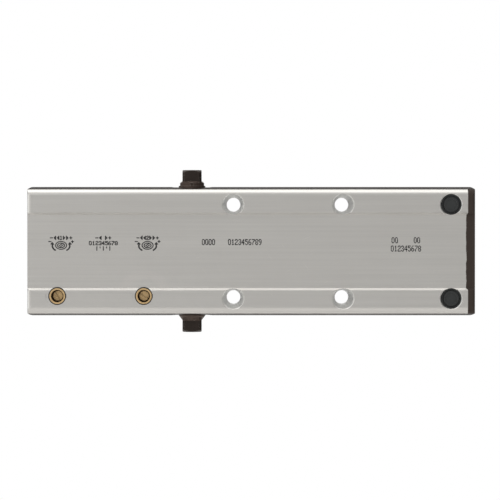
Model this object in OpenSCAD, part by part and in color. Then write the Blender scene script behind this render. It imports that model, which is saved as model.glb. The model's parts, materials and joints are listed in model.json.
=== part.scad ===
// Surface-mounted hydraulic door closer with a rack-and-pinion spindle.
// The mounting face is the plane y = 0 and the body reaches towards +Y.
// The spindle runs along Z and the piston along X. The origin is the centre
// of the four fixing holes on the mounting face. The model is drawn with the
// door shut, which is the rest position of every moving piece.

/* [Body] */
// Length of the body
body_l = 224; // [222:1:272]
// Height of the body across its flanks
body_h = 64.8; // [64:0.2:80]
// Depth of the body from the mounting face to the front face
body_d = 42; // [41.5:0.5:52]
// Distance of the body's middle from the fixing centre, towards the latching end
body_shift = 18.5; // [16:0.5:21]
// Radius between the mounting face and the flanks
back_round = 3.5; // [2:0.1:4]
// Radius between the front face and the flanks
front_round = 6; // [3:0.5:7]
// Draft of each flank from its back edge to its crest
flank_draft = 1.1; // [0.2:0.1:1.5]
// Distance of the flank's crest from the mounting face
crest_y = 14; // [12:1:30]
// Radius around the corners of the two ends
end_round = 1.75; // [0.5:0.25:2.5]

/* [Mounting face] */
// Width of each raised mounting strip
strip_w = 8.4; // [7:0.1:9.3]
// Depth of the recess between the strips
recess_depth = 1.2; // [0.6:0.1:2]
// Width of the slanted step beside each strip
step_w = 1.1; // [0.5:0.1:2]
// Pitch of the fixing holes along the body
fixing_l = 55; // [46:1:65]
// Pitch of the fixing holes across the body
fixing_h = 47; // [46:0.5:49]
// Diameter of the fixing holes
fixing_d = 7; // [5.5:0.1:8.5]
// Diameter of the cored fixing holes and the plug sockets at the mounting face
back_pocket_d = 10.3; // [9:0.1:12]
// Depth over which the cored fixing holes taper down to their full-length bore
core_depth = 24; // [14:1:28]
// Diameter of the screw head pockets on the front face
front_pocket_d = 11; // [9:0.1:12]
// Depth of the screw head pockets and the plug sockets
pocket_depth = 12; // [8:0.5:13]
// Chamfer that breaks the edges of pockets, sockets, plugs and caps
edge_break = 0.5; // [0.2:0.05:0.6]
// Distance of the blanking plugs from the spring end of the body
plug_inset = 12; // [11:0.5:16]
// Depth of the blind holes behind the blanking plugs
plug_hole_depth = 30; // [20:1:34]

/* [Cylinder] */
// Diameter of the piston bore
bore_d = 32; // [26.5:0.1:33]
// Distance of the bore axis from the mounting face
bore_y = 21; // [20.5:0.1:21.5]
// Extra diameter of the threads for the end plugs
end_thread_extra = 3; // [1.5:0.5:4]
// Length of the threads for the end plugs
end_thread_l = 9; // [7:0.5:9.5]
// Length of each end plug's nose inside the bore
plug_nose_l = 4.5; // [4:0.5:5.5]
// Sink of each end plug below its end of the body
plug_sink = 0.6; // [0.2:0.1:1]
// Key width of the sockets in the end plugs
plug_key_af = 10; // [6:1:12]
// Depth of the sockets in the end plugs
plug_key_depth = 5; // [3:0.5:6]
// Section diameter of the O-rings on the end plugs
end_ring_d = 2; // [1.5:0.1:2.5]

/* [Spindle] */
// Distance of the spindle from the body's middle, towards the latching end
spindle_shift = 30; // [26:0.5:33]
// Width across the flats of the two drive squares
square_af = 9.6; // [8:0.1:11]
// Diameter over the rounded corners of the drive squares
square_corner_d = 12.2; // [11:0.1:13]
// Stand-out of each spindle end beyond the flank
stand_out = 8.6; // [8:0.1:16]
// Diameter of the spindle's journals
journal_d = 13.5; // [13.2:0.1:16.2]
// Number of teeth on the pinion
teeth = 10; // [10:1:10]
// Module of the pinion and the rack
tooth_module = 1.5; // [1.25:0.05:1.8]
// Pressure angle of the teeth
pressure_angle = 20; // [20:1:25]
// Free play between a tooth and its space at the pitch line
backlash = 0.3; // [0.2:0.05:0.4]
// Opening angle of the door at full travel
opening_angle = 180; // [120:5:180]
// Diameter of the tapped holes in the spindle ends
tapping_d = 5; // [4.2:0.1:5]
// Depth of the tapped holes in the spindle ends
tapping_depth = 14; // [10:1:18]

/* [Bearings] */
// Diameter of the needle rollers
roller_d = 2.4; // [2:0.1:2.6]
// Length of each bearing shell
shell_l = 8; // [6:0.5:8.5]
// Wall of the bearing shells
shell_wall = 1.8; // [1:0.1:2]
// Length of the shaft seals
seal_l = 3; // [2:0.1:3.2]
// Length of the threaded bearing caps
cap_l = 4.4; // [3.6:0.1:4.6]
// Step between the bearing shell's bore and the cap's thread
cap_step = 1.5; // [1:0.1:2]
// Section diameter of the O-rings on the bearing caps
cap_ring_d = 1.5; // [1:0.1:1.6]

/* [Piston] */
// Length of the sealing land at the latching end of the piston
land_l = 14; // [10:0.5:15]
// Length of the piston between its window and the spring
tail_l = 12; // [8:0.5:14]
// Length of the guide land at the spring end of the piston
tail_land_l = 7; // [5:0.5:8]
// Relief of the piston's middle below its lands
waist_relief = 1; // [0.5:0.1:1.5]
// Room between the piston and the latching end plug with the door shut
head_room = 4; // [3:0.5:8]
// Diameter of the oil passage through the piston's tail
tail_passage_d = 10; // [6:0.5:12]
// Diameter of the check ball
check_ball_d = 4.5; // [4:0.1:5]
// Travel of the check ball off its seat
check_lift = 1; // [0.6:0.1:1.2]
// Diameter of the relief ball
relief_ball_d = 4; // [3.5:0.1:4.4]
// Travel of the relief ball off its seat
relief_lift = 0.8; // [0.4:0.1:1]
// Distance of the two piston valves from the bore axis
piston_valve_r = 8; // [7:0.1:9]

/* [Closing spring] */
// Wire diameter of the closing spring
wire_d = 5; // [4:0.1:6]
// Room between the closing spring and the bore
spring_room = 2.25; // [1:0.05:3]
// Least gap between neighbouring coils at full travel
coil_gap = 0.3; // [0.2:0.05:1]

/* [Speed valves] */
// Distance of the latching valve from its end of the body
latching_inset = 15; // [14.5:0.1:16]
// Distance of the valve axes below the bore axis
valve_drop = 22.3; // [22:0.1:23]
// Outer diameter of the brass valve bushes
bush_d = 7.9; // [7.4:0.1:9.5]
// Wall of the valve bushes
bush_wall = 0.8; // [0.5:0.05:0.9]
// Length of the valve bushes
bush_l = 8.2; // [6:0.2:9]
// Sink of the valve bushes below the faces of the body
bush_sink = 0.3; // [0.1:0.1:0.6]
// Depth of the relief groove around each valve bush
mouth_depth = 1.4; // [0.8:0.1:1.6]
// Width of the relief groove around each valve bush
mouth_step = 0.5; // [0.2:0.05:0.6]
// Sink of the slotted valve screws below the faces of the body
screw_sink = 6; // [5:0.25:6.5]
// Width of the screwdriver slots
slot_w = 0.9; // [0.6:0.1:1.2]
// Depth of the screwdriver slots
slot_depth = 1.4; // [0.8:0.1:1.6]
// Angle of the latching screw's slot
latching_slot_angle = 60; // [0:5:175]
// Angle of the closing screw's slot
closing_slot_angle = 30; // [0:5:175]
// Section diameter of the O-rings on the valve screws
valve_ring_d = 1; // [0.8:0.1:1.2]
// Overall length of the staking notches across a valve hole
stake_l = 11.9; // [11:0.1:14]
// Width of the staking notches
stake_w = 2.3; // [1.5:0.1:3]
// Depth of the staking notches
stake_depth = 0.7; // [0.3:0.1:0.7]

/* [Oil ways] */
// Diameter of the gallery between the valves
gallery_d = 3; // [2:0.1:3.2]
// Diameter of the ports into the bore
port_d = 2; // [1:0.1:2.2]
// Distance of the closing port from the piston's sealing edge with the door shut
closing_port_inset = 3; // [2:0.1:4]
// Distance of the return port beyond the piston's sealing land at full travel
return_port_gap = 3.2; // [2:0.1:4]
// Diameter of the ball that seals the gallery
gallery_ball_d = 4; // [3.6:0.1:4.4]
// Diameter of the balls that seal the ports
port_ball_d = 3; // [2.6:0.1:3.4]
// Sink of the sealing balls' centres below the surface
ball_sink = 2.4; // [2.2:0.1:2.8]

/* [Hidden] */
$fn = 72;

// Clearances: a running fit, a seated fit and the overrun of every cut
running = 0.03;
seated = 0.01;
over = 1;
groove_play = 0.2;
valve_play = 0.1;

// Body outline
left_x = -body_shift - body_l / 2;
right_x = left_x + body_l;
half_h = body_h / 2;
flat_half = half_h - flank_draft - back_round;
strip_in = flat_half - strip_w;
plug_x = right_x - plug_inset;

// Cylinder
bore_r = bore_d / 2;
thread_r = bore_r + end_thread_extra / 2;
nose_in = end_thread_l + plug_nose_l;

// Spindle and gear
spindle_x = -body_shift - spindle_shift;
spindle_half = half_h + stand_out;
journal_r = journal_d / 2;
pitch_r = teeth * tooth_module / 2;
base_r = pitch_r * cos(pressure_angle);
tip_r = pitch_r + tooth_module;
tooth_clearance = 0.3;
// The rack's teeth are stubbed, so that they stay above the involute's start
rack_addendum = 0.97 * pitch_r * pow(sin(pressure_angle), 2);
pinion_root_r = pitch_r - rack_addendum - tooth_clearance;
rack_root = pitch_r + tooth_module + tooth_clearance;
rack_pitch = PI * tooth_module;
pinion_half = bore_r - 0.5;
flank_steps = 6;
travel = opening_angle * PI / 180 * pitch_r;
cone_l = 2.5;
cone_z = half_h + 0.3;
collar_l = 1.5;
collar_z = half_h + 0.6;
notch = 1.5;
square_chamfer = 1;
tip_draw = 1.5;
collar_chamfer = 1;
tapping_countersink = 0.6;

// Flank at the spindle, and the stack of bearing, seal and cap below it
flank_z = flat_half + back_round + flank_draft * min(1, (bore_y - back_round) / (crest_y - back_round));
cap_sink = 0.6;
cap_top = flank_z - cap_sink;
seal_top = cap_top - cap_l;
shell_top = seal_top - seal_l;
shell_bottom = shell_top - shell_l;
roller_gap = 0.02;
roller_pitch_r = journal_r + roller_gap + roller_d / 2;
roller_end = 0.7;
roller_play = 0.15;
roller_count = floor(180 / asin((roller_d + roller_play) / 2 / roller_pitch_r));
shell_in_r = roller_pitch_r + roller_d / 2 + roller_gap;
shell_r = shell_in_r + shell_wall;
lip = 0.6;
lip_gap = 0.2;
cap_r = shell_r + cap_step;
spanner_hole_d = 2;
spanner_hole_depth = 2;
cap_groove_at = 0.6;
seal_wall = 1;

// Piston, worked out from the spindle and the plug behind it
window_gap = 1.5;
window_left = spindle_x - tip_r - travel - window_gap;
window_right = spindle_x + tip_r + window_gap;
window_far = tip_r + 0.8;
piston_left = left_x + nose_in + head_room;
piston_right = window_right + tail_l;
piston_r = bore_r - running;
spigot_r = bore_r - spring_room - wire_d - 0.25;
spigot_l = 3;
check_seat = 6.5;
check_bore_r = check_ball_d / 2 + 0.35;
check_passage_r = 1.4;
check_centre = check_seat - sqrt(pow(check_ball_d / 2, 2) - pow(check_passage_r, 2)) - seated;
retainer_l = check_centre - check_ball_d / 2 - check_lift - valve_play;
relief_seat = 2.5;
relief_bore_r = relief_ball_d / 2 + 0.4;
relief_passage_r = 1.2;
relief_centre = relief_seat + sqrt(pow(relief_ball_d / 2, 2) - pow(relief_passage_r, 2)) + seated;
relief_wire_d = 0.7;
relief_coil_r = relief_bore_r - relief_wire_d / 2 - 0.5;
relief_spring_start = relief_centre + sqrt(pow(relief_ball_d / 2, 2) - pow(relief_coil_r, 2)) + 0.05;
relief_spring_l = 6;
relief_turns = 6;
relief_screw_l = 4.5;
relief_key_af = 2.5;
relief_key_depth = 2;
relief_drain_r = 0.6;
retainer_hole_r = 0.8;
retainer_notch_r = 0.7;

// Closing spring, between the piston and the nose of the right end plug
spring_left = piston_right;
spring_right = right_x - nose_in;
spring_l = spring_right - spring_left;
coil_r = bore_r - spring_room - wire_d / 2;
spring_turns = floor(2 * (spring_l - travel) / (wire_d + coil_gap)) / 2;

// Speed valves and oil ways
latching_x = left_x + latching_inset;
closing_x = piston_left + land_l + travel + return_port_gap;
closing_port_x = piston_left + closing_port_inset;
bush_r = bush_d / 2;
thread_in_r = bush_r - bush_wall;
screw_r = thread_in_r - 0.05;
screw_bore_r = screw_r + 0.1;
screw_head_r = screw_r - 0.5;
screw_head_l = 1.2;
bush_end = bush_sink + bush_l;
ring_land_l = 4.5;
meter_l = 4.5;
waist_r = screw_r - 1.4;
ring_at = bush_end + 1.5 + ring_land_l / 2;

// Blanking plugs
plug_face = 0.4;
plug_gap = 0.25;
plug_rim = 0.35;
moat_w = 0.85;
moat_depth = 1.6;
dish_r = 2.9;
dish_depth = 0.4;
barbs = 3;
barb_pitch = 3;
barb_w = 0.8;
stem_l = 6;

module along_x(x) { translate([x, bore_y, 0]) rotate([0, 90, 0]) children(); }

module along_y(x, z) { translate([x, 0, z]) rotate([-90, 0, 0]) children(); }

module on_spindle() { translate([spindle_x, bore_y, 0]) children(); }

// A piece of the upper half, repeated below the bore axis where side is -1
module at_flank(side) { on_spindle() mirror([0, 0, side > 0 ? 0 : 1]) children(); }

module ring(outer_r, inner_r, from, to) {
    translate([0, 0, from]) difference() {
        cylinder(r = outer_r, h = to - from);
        translate([0, 0, -over]) cylinder(r = inner_r, h = to - from + 2 * over);
    }
}

// Cone that breaks the edge of a round mouth at z = 0, on the side of -Z
module mouth_break(r, size = edge_break) {
    translate([0, 0, -over]) cylinder(r1 = r + size + over, r2 = r, h = size + over);
}

// Cylinder from z = 0 to z = h with a chamfer around the end at z = 0
module broken_cylinder(r, h, size = edge_break) {
    translate([0, 0, size]) cylinder(r = r, h = h - size);
    cylinder(r1 = r - size, r2 = r, h = size);
}

// O-ring of the given section, whose outside just clears a wall of radius wall_r
module o_ring(wall_r, section_d) {
    rotate_extrude() translate([wall_r - section_d / 2, 0]) circle(d = section_d - 2 * seated);
}

module rounded_plate(w, h, r) {
    square([w - 2 * r, h], center = true);
    square([w, h - 2 * r], center = true);
    for (sx = [-1, 1], sy = [-1, 1]) translate([sx * (w / 2 - r), sy * (h / 2 - r)]) circle(r = r);
}

// A round wire wound into a spring along +Z, with one closed turn at each end
function coil_rise(turn, turns, length, wire) =
    turn < 1 ? turn * wire
    : turn > turns - 1 ? length - wire - (turns - turn) * wire
    : wire + (turn - 1) * (length - 3 * wire) / (turns - 2);

module coil_spring(mean_r, wire, length, turns, rings_a_turn, sides) {
    steps = turns * rings_a_turn;
    points = [
        for (i = [0:steps], k = [0:sides - 1])
            let (
                a = 360 * i / rings_a_turn,
                b = 360 * k / sides,
                r = mean_r + wire / 2 * cos(b),
                z = wire / 2 + coil_rise(i / rings_a_turn, turns, length, wire) + wire / 2 * sin(b)
            )
            [r * cos(a), r * sin(a), z]
    ];
    sides_of_tube = [
        for (i = [0:steps - 1], k = [0:sides - 1])
            let (n = (k + 1) % sides)
            [i * sides + k, (i + 1) * sides + k, (i + 1) * sides + n, i * sides + n]
    ];
    near_end = [for (k = [0:sides - 1]) k];
    far_end = [for (k = [sides - 1:-1:0]) steps * sides + k];
    polyhedron(points, concat(sides_of_tube, [near_end, far_end]), convexity = 10);
}

// Bar with the body's cross-section, drawn with the depth along x and the height along y
module body_bar() {
    flank = [
        [0, flat_half],
        [back_round, flat_half + back_round],
        [crest_y, half_h],
        [body_d - front_round, half_h],
        [body_d, half_h - front_round]
    ];
    difference() {
        union() {
            linear_extrude(height = body_l)
                polygon([each flank, for (i = [4:-1:0]) [flank[i][0], -flank[i][1]]]);
            for (s = [-1, 1]) {
                translate([back_round, s * flat_half, 0]) cylinder(r = back_round, h = body_l);
                translate([body_d - front_round, s * (half_h - front_round), 0])
                    cylinder(r = front_round, h = body_l);
            }
        }
        translate([0, 0, -over]) linear_extrude(height = body_l + 2 * over) polygon([
            [-over, -strip_in - over * step_w / recess_depth],
            [recess_depth, -strip_in + step_w],
            [recess_depth, strip_in - step_w],
            [-over, strip_in + over * step_w / recess_depth]
        ]);
    }
}

module body_blank() {
    intersection() {
        translate([left_x, 0, 0]) rotate([90, 0, 90]) body_bar();
        translate([-body_shift, body_d / 2, -body_h])
            linear_extrude(height = 2 * body_h) rounded_plate(body_l, body_d, end_round);
        translate([-body_shift, 2 * body_d, 0])
            rotate([90, 0, 0]) linear_extrude(height = 3 * body_d) rounded_plate(body_l, body_h, end_round);
    }
}

module fixing_cuts() {
    for (x = [-fixing_l / 2, fixing_l / 2], z = [-fixing_h / 2, fixing_h / 2]) along_y(x, z) {
        translate([0, 0, -over]) cylinder(d = fixing_d, h = body_d + 2 * over);
        cylinder(d1 = back_pocket_d, d2 = fixing_d, h = core_depth);
        mouth_break(back_pocket_d / 2);
        translate([0, 0, body_d]) mirror([0, 0, 1]) {
            translate([0, 0, -over]) cylinder(d = front_pocket_d, h = pocket_depth + over);
            mouth_break(front_pocket_d / 2);
        }
    }
}

module blanking_socket_cuts() {
    for (z = [-fixing_h / 2, fixing_h / 2]) along_y(plug_x, z) {
        translate([0, 0, -over]) cylinder(d = back_pocket_d, h = pocket_depth + over);
        cylinder(d = fixing_d, h = plug_hole_depth);
        mouth_break(back_pocket_d / 2);
    }
}

module cylinder_cuts() {
    along_x(left_x - over) cylinder(r = bore_r, h = body_l + 2 * over);
    along_x(left_x - over) cylinder(r = thread_r, h = end_thread_l + over);
    along_x(right_x - end_thread_l) cylinder(r = thread_r, h = end_thread_l + over);
    along_x(left_x) mouth_break(thread_r);
    along_x(right_x) mirror([0, 0, 1]) mouth_break(thread_r);
}

module bearing_cuts() {
    for (side = [-1, 1]) at_flank(side) {
        cylinder(r = shell_r, h = half_h);
        translate([0, 0, seal_top]) cylinder(r = cap_r, h = cap_l + stand_out);
    }
}

// Both mouths of one valve hole: the bushes' seats, and the relief grooves that the stakes bridge
module valve_cuts(x) {
    along_y(x, -valve_drop) {
        cylinder(r = screw_bore_r, h = body_d);
        for (far = [0, 1]) translate([0, 0, far * body_d]) mirror([0, 0, far]) translate([0, 0, -over]) {
            cylinder(r = bush_r, h = bush_end + over);
            difference() {
                cylinder(r = bush_r + mouth_step, h = mouth_depth + over);
                translate([-stake_l / 2, -stake_w / 2, stake_depth + over])
                    cube([stake_l, stake_w, mouth_depth]);
            }
            translate([-stake_l / 2, -stake_w / 2, 0]) cube([stake_l, stake_w, stake_depth + over]);
        }
    }
}

// Height of a ball's centre above the rim of the hole that it closes
function seat_rise(ball_d, hole_d) = sqrt(pow(ball_d, 2) - pow(hole_d, 2)) / 2;

module oil_way_cuts() {
    translate([0, 0, -valve_drop]) along_x(left_x - over) {
        cylinder(d = gallery_d, h = closing_x - left_x + over);
        cylinder(d = gallery_ball_d, h = ball_sink + seat_rise(gallery_ball_d, gallery_d) + over);
    }
    for (x = [latching_x, closing_port_x, closing_x]) translate([x, bore_y, -flank_z - over]) {
        cylinder(d = port_d, h = flank_z + over - bore_r + port_d);
        cylinder(d = port_ball_d, h = ball_sink + seat_rise(port_ball_d, port_d) + over);
    }
}

module closer_body() {
    color("#aaa9a4") difference() {
        body_blank();
        fixing_cuts();
        blanking_socket_cuts();
        cylinder_cuts();
        bearing_cuts();
        valve_cuts(latching_x);
        valve_cuts(closing_x);
        oil_way_cuts();
    }
}

// Threaded plug, drawn with its outer face at z = 0 and its nose towards +Z
module end_plug_shape(spigot) {
    l = nose_in - plug_sink;
    thread_part = end_thread_l - plug_sink;
    groove = end_ring_d + groove_play;
    difference() {
        union() {
            broken_cylinder(thread_r - seated, thread_part);
            cylinder(r = bore_r - seated, h = l);
            cylinder(r = spigot_r, h = l + spigot);
        }
        translate([0, 0, thread_part + (plug_nose_l - groove) / 2])
            ring(bore_r + over, bore_r - end_ring_d, 0, groove);
        translate([0, 0, -over]) cylinder(d = plug_key_af / cos(30), h = plug_key_depth + over, $fn = 6);
        mouth_break(plug_key_af / 2);
    }
}

module left_end_plug() { color("#3a3330") along_x(left_x + plug_sink) end_plug_shape(0); }

module right_end_plug() {
    color("#3a3330") along_x(right_x - plug_sink) mirror([0, 0, 1]) end_plug_shape(spigot_l);
}

module end_o_ring(x) { color("#1d1d1f") along_x(x) o_ring(bore_r, end_ring_d); }

module left_end_o_ring() { end_o_ring(left_x + end_thread_l + plug_nose_l / 2); }

module right_end_o_ring() { end_o_ring(right_x - end_thread_l - plug_nose_l / 2); }

// Drawn cup with an inner lip at each end, which keeps the rollers in
module bearing_shell(side) {
    color("#8d8f92") at_flank(side) {
        ring(shell_r - seated, shell_in_r, shell_bottom + lip, shell_top - lip);
        ring(shell_r - seated, journal_r + lip_gap, shell_bottom, shell_bottom + lip);
        ring(shell_r - seated, journal_r + lip_gap, shell_top - lip, shell_top);
    }
}

module upper_bearing_shell() { bearing_shell(1); }

module lower_bearing_shell() { bearing_shell(-1); }

module needle_rollers(side) {
    color("#b8babd") at_flank(side)
        for (i = [0:roller_count - 1]) rotate([0, 0, 360 * i / roller_count])
            translate([roller_pitch_r, 0, shell_bottom + roller_end])
                cylinder(d = roller_d, h = shell_l - 2 * roller_end, $fn = 24);
}

module upper_needle_rollers() { needle_rollers(1); }

module lower_needle_rollers() { needle_rollers(-1); }

// Lip seal with an open side towards the oil
module shaft_seal(side) {
    color("#202124") at_flank(side) translate([0, 0, shell_top]) difference() {
        ring(shell_r - seated, journal_r + running, 0, seal_l);
        ring(shell_r - seal_wall, journal_r + seal_wall, -over, seal_l - seal_wall);
    }
}

module upper_shaft_seal() { shaft_seal(1); }

module lower_shaft_seal() { shaft_seal(-1); }

module bearing_cap(side) {
    groove = cap_ring_d + groove_play;
    groove_z = seal_top + cap_groove_at;
    color("#4a3d38") at_flank(side) difference() {
        translate([0, 0, cap_top]) mirror([0, 0, 1]) broken_cylinder(cap_r - seated, cap_l);
        translate([0, 0, seal_top - over]) cylinder(r = journal_r + lip_gap, h = cap_l + 2 * over);
        ring(cap_r + over, cap_r - cap_ring_d, groove_z, groove_z + groove);
        for (a = [45:90:315]) rotate([0, 0, a])
            translate([(cap_r + journal_r) / 2, 0, cap_top - spanner_hole_depth])
                cylinder(d = spanner_hole_d, h = spanner_hole_depth + over);
    }
}

module upper_bearing_cap() { bearing_cap(1); }

module lower_bearing_cap() { bearing_cap(-1); }

module cap_o_ring(side) {
    color("#1d1d1f") at_flank(side)
        translate([0, 0, seal_top + cap_groove_at + (cap_ring_d + groove_play) / 2]) o_ring(cap_r, cap_ring_d);
}

module upper_cap_o_ring() { cap_o_ring(1); }

module lower_cap_o_ring() { cap_o_ring(-1); }

// Half of a pinion tooth's angle at radius r, on an involute flank
function involute(a) = tan(a) * 180 / PI - a;
function tooth_half(r) =
    90 / teeth - backlash / 4 / pitch_r * 180 / PI
    + involute(pressure_angle) - involute(acos(min(1, base_r / r)));

module pinion_section() {
    radii = [for (i = [0:flank_steps]) pinion_root_r + (tip_r - pinion_root_r) * i / flank_steps];
    polygon([
        for (t = [0:teeth - 1], i = [0:2 * flank_steps + 1])
            let (
                rising = i <= flank_steps,
                r = radii[rising ? i : 2 * flank_steps + 1 - i],
                a = -90 + 360 * t / teeth + (rising ? -1 : 1) * tooth_half(r)
            )
            [r * cos(a), r * sin(a)]
    ]);
}

// Square drive from z = from up to the spindle's end, with rounded corners
module drive_square(from) {
    intersection() {
        translate([-square_af / 2, -square_af / 2, from]) cube([square_af, square_af, spindle_half - from]);
        union() {
            translate([0, 0, from]) cylinder(d = square_corner_d, h = spindle_half - square_chamfer - from);
            translate([0, 0, spindle_half - square_chamfer])
                cylinder(d1 = square_corner_d, d2 = square_corner_d - 2 * tip_draw, h = square_chamfer);
        }
    }
}

module tapped_hole() {
    translate([0, 0, spindle_half - tapping_depth]) cylinder(d = tapping_d, h = tapping_depth + over);
    translate([0, 0, spindle_half - tapping_countersink])
        cylinder(d1 = tapping_d, d2 = tapping_d + 2 * tapping_countersink, h = tapping_countersink);
}

module spindle() {
    collar_top = collar_z + collar_l;
    color("#3a2d27") on_spindle() difference() {
        union() {
            translate([0, 0, -pinion_half]) linear_extrude(height = 2 * pinion_half) pinion_section();
            translate([0, 0, pinion_half]) cylinder(r = journal_r, h = collar_z - pinion_half);
            translate([0, 0, -cone_z]) cylinder(r = journal_r, h = cone_z - pinion_half);
            translate([0, 0, collar_z]) cylinder(d = square_corner_d, h = collar_l);
            translate([0, 0, collar_top]) cylinder(d1 = square_corner_d, d2 = square_af, h = collar_chamfer);
            translate([0, 0, -cone_z - cone_l]) cylinder(d1 = square_af, r2 = journal_r, h = cone_l);
            drive_square(collar_top);
            mirror([0, 0, 1]) drive_square(cone_z);
        }
        translate([-notch / 2, -square_corner_d / 2 - over, collar_z])
            cube([notch, over + notch / 2, notch]);
        tapped_hole();
        mirror([0, 0, 1]) tapped_hole();
    }
}

// Outline of the window that the pinion works in, with the rack along one side
module window_section() {
    spaces = ceil(travel / rack_pitch) + 1;
    tip_y = -(pitch_r - rack_addendum);
    space_half = rack_pitch / 4 + backlash / 4;
    slope = tan(pressure_angle);
    translate([window_left - spindle_x, tip_y])
        square([window_right - window_left, window_far - tip_y]);
    for (k = [-spaces:1]) translate([k * rack_pitch, 0]) polygon([
        for (s = [-1, 1], y = s < 0 ? [-rack_root, tip_y + 0.1] : [tip_y + 0.1, -rack_root])
            [s * (space_half + (pitch_r + y) * slope), y]
    ]);
}

// A hole through the piston's head, parallel to the bore axis
module head_hole(z, r, from, to) {
    translate([0, 0, z]) along_x(piston_left + from) cylinder(r = r, h = to - from);
}

module piston() {
    head_l = window_left - piston_left + over;
    color("#7d7f82") difference() {
        union() {
            along_x(piston_left) cylinder(r = piston_r, h = land_l);
            along_x(piston_left) cylinder(r = piston_r - waist_relief, h = piston_right - piston_left);
            along_x(piston_right - tail_land_l) cylinder(r = piston_r, h = tail_land_l);
            along_x(piston_right) cylinder(r = spigot_r, h = spigot_l);
        }
        on_spindle() translate([0, 0, -bore_r]) linear_extrude(height = bore_d) window_section();
        along_x(window_right - over) cylinder(d = tail_passage_d, h = tail_l + spigot_l + 2 * over);
        head_hole(piston_valve_r, check_bore_r, -over, check_seat);
        head_hole(piston_valve_r, check_passage_r, 0, head_l);
        head_hole(-piston_valve_r, relief_passage_r, -over, relief_seat + over);
        head_hole(-piston_valve_r, relief_bore_r, relief_seat, head_l);
    }
}

module check_ball() {
    color("#c9cbce") translate([piston_left + check_centre, bore_y, piston_valve_r]) sphere(d = check_ball_d);
}

// Pressed disc with a central hole and three side notches for the oil
module check_ball_retainer() {
    color("#8d8f92") translate([0, 0, piston_valve_r]) along_x(piston_left) difference() {
        ring(check_bore_r - seated, retainer_hole_r, valve_play, retainer_l);
        for (a = [0:120:240]) rotate([0, 0, a])
            translate([check_bore_r, 0, 0]) cylinder(r = retainer_notch_r, h = retainer_l + over);
    }
}

module relief_ball() {
    color("#c9cbce") translate([piston_left + relief_centre, bore_y, -piston_valve_r]) sphere(d = relief_ball_d);
}

module relief_spring() {
    color("#9a9c9f") translate([0, 0, -piston_valve_r]) along_x(piston_left + relief_spring_start)
        coil_spring(relief_coil_r, relief_wire_d, relief_spring_l, relief_turns, 12, 6);
}

module relief_screw() {
    color("#5b5d60") translate([0, 0, -piston_valve_r])
        along_x(piston_left + relief_spring_start + relief_spring_l + valve_play) difference() {
            cylinder(r = relief_bore_r - seated, h = relief_screw_l);
            translate([0, 0, -over]) cylinder(r = relief_drain_r, h = relief_screw_l);
            translate([0, 0, relief_screw_l - relief_key_depth])
                cylinder(d = relief_key_af / cos(30), h = relief_key_depth + over, $fn = 6);
        }
}

module closing_spring() {
    color("#54575c") along_x(spring_left) coil_spring(coil_r, wire_d, spring_l, spring_turns, 16, 6);
}

// Slotted screw that runs right through the body, with its metering cone at the gallery
module valve_screw(x, slot_angle) {
    l = body_d - 2 * screw_sink;
    groove = valve_ring_d + groove_play;
    land_in = ring_at + ring_land_l / 2;
    color("#a98a55") along_y(x, -valve_drop) difference() {
        union() {
            translate([0, 0, screw_sink]) cylinder(r = screw_head_r, h = l);
            translate([0, 0, screw_sink + screw_head_l]) cylinder(r = screw_r, h = l - 2 * screw_head_l);
        }
        translate([0, 0, land_in]) difference() {
            cylinder(r = bush_r, h = body_d - 2 * land_in);
            translate([0, 0, -over]) cylinder(r = waist_r, h = body_d);
            cylinder(r = screw_r, h = bore_y - meter_l / 2 - land_in);
            translate([0, 0, bore_y - meter_l / 2 - land_in]) cylinder(r1 = screw_r, r2 = waist_r, h = meter_l);
        }
        for (y = [ring_at, body_d - ring_at])
            ring(bush_r, screw_bore_r - valve_ring_d, y - groove / 2, y + groove / 2);
        for (y = [screw_sink, body_d - screw_sink]) translate([0, 0, y]) rotate([0, 0, slot_angle])
            cube([bush_d, slot_w, 2 * slot_depth], center = true);
    }
}

module valve_bushes(x) {
    color("#b08d57") along_y(x, -valve_drop)
        for (y = [bush_sink, body_d - bush_end]) ring(bush_r - seated, thread_in_r, y, y + bush_l);
}

module valve_o_rings(x) {
    color("#1d1d1f") along_y(x, -valve_drop)
        for (y = [ring_at, body_d - ring_at]) translate([0, 0, y]) o_ring(screw_bore_r, valve_ring_d);
}

module latching_valve_screw() { valve_screw(latching_x, latching_slot_angle); }

module latching_valve_bushes() { valve_bushes(latching_x); }

module latching_valve_o_rings() { valve_o_rings(latching_x); }

module closing_valve_screw() { valve_screw(closing_x, closing_slot_angle); }

module closing_valve_bushes() { valve_bushes(closing_x); }

module closing_valve_o_rings() { valve_o_rings(closing_x); }

module oil_way_sealing_balls() {
    color("#8d8f92") {
        translate([left_x + ball_sink, bore_y, -valve_drop]) sphere(d = gallery_ball_d - 2 * seated);
        for (x = [latching_x, closing_port_x, closing_x])
            translate([x, bore_y, -flank_z + ball_sink]) sphere(d = port_ball_d - 2 * seated);
    }
}

// Push-in plug: a button in a thin rim, barbs in the socket and a stem in the blind hole
module blanking_plug(side) {
    socket_r = back_pocket_d / 2;
    plug_r = socket_r - plug_gap;
    moat_r = plug_r - plug_rim;
    button_r = moat_r - moat_w;
    color("#3f4141") along_y(plug_x, side * fixing_h / 2) difference() {
        union() {
            translate([0, 0, plug_face]) cylinder(r = plug_r, h = pocket_depth - plug_face - seated);
            for (k = [1:barbs]) translate([0, 0, k * barb_pitch]) cylinder(r = socket_r - seated, h = barb_w);
            translate([0, 0, plug_face]) cylinder(r = fixing_d / 2 - seated, h = pocket_depth + stem_l);
        }
        ring(moat_r, button_r, plug_face - over, plug_face + moat_depth);
        translate([0, 0, plug_face - over]) cylinder(r = dish_r, h = dish_depth + over);
    }
}

module upper_blanking_plug() { blanking_plug(1); }

module lower_blanking_plug() { blanking_plug(-1); }

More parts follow.
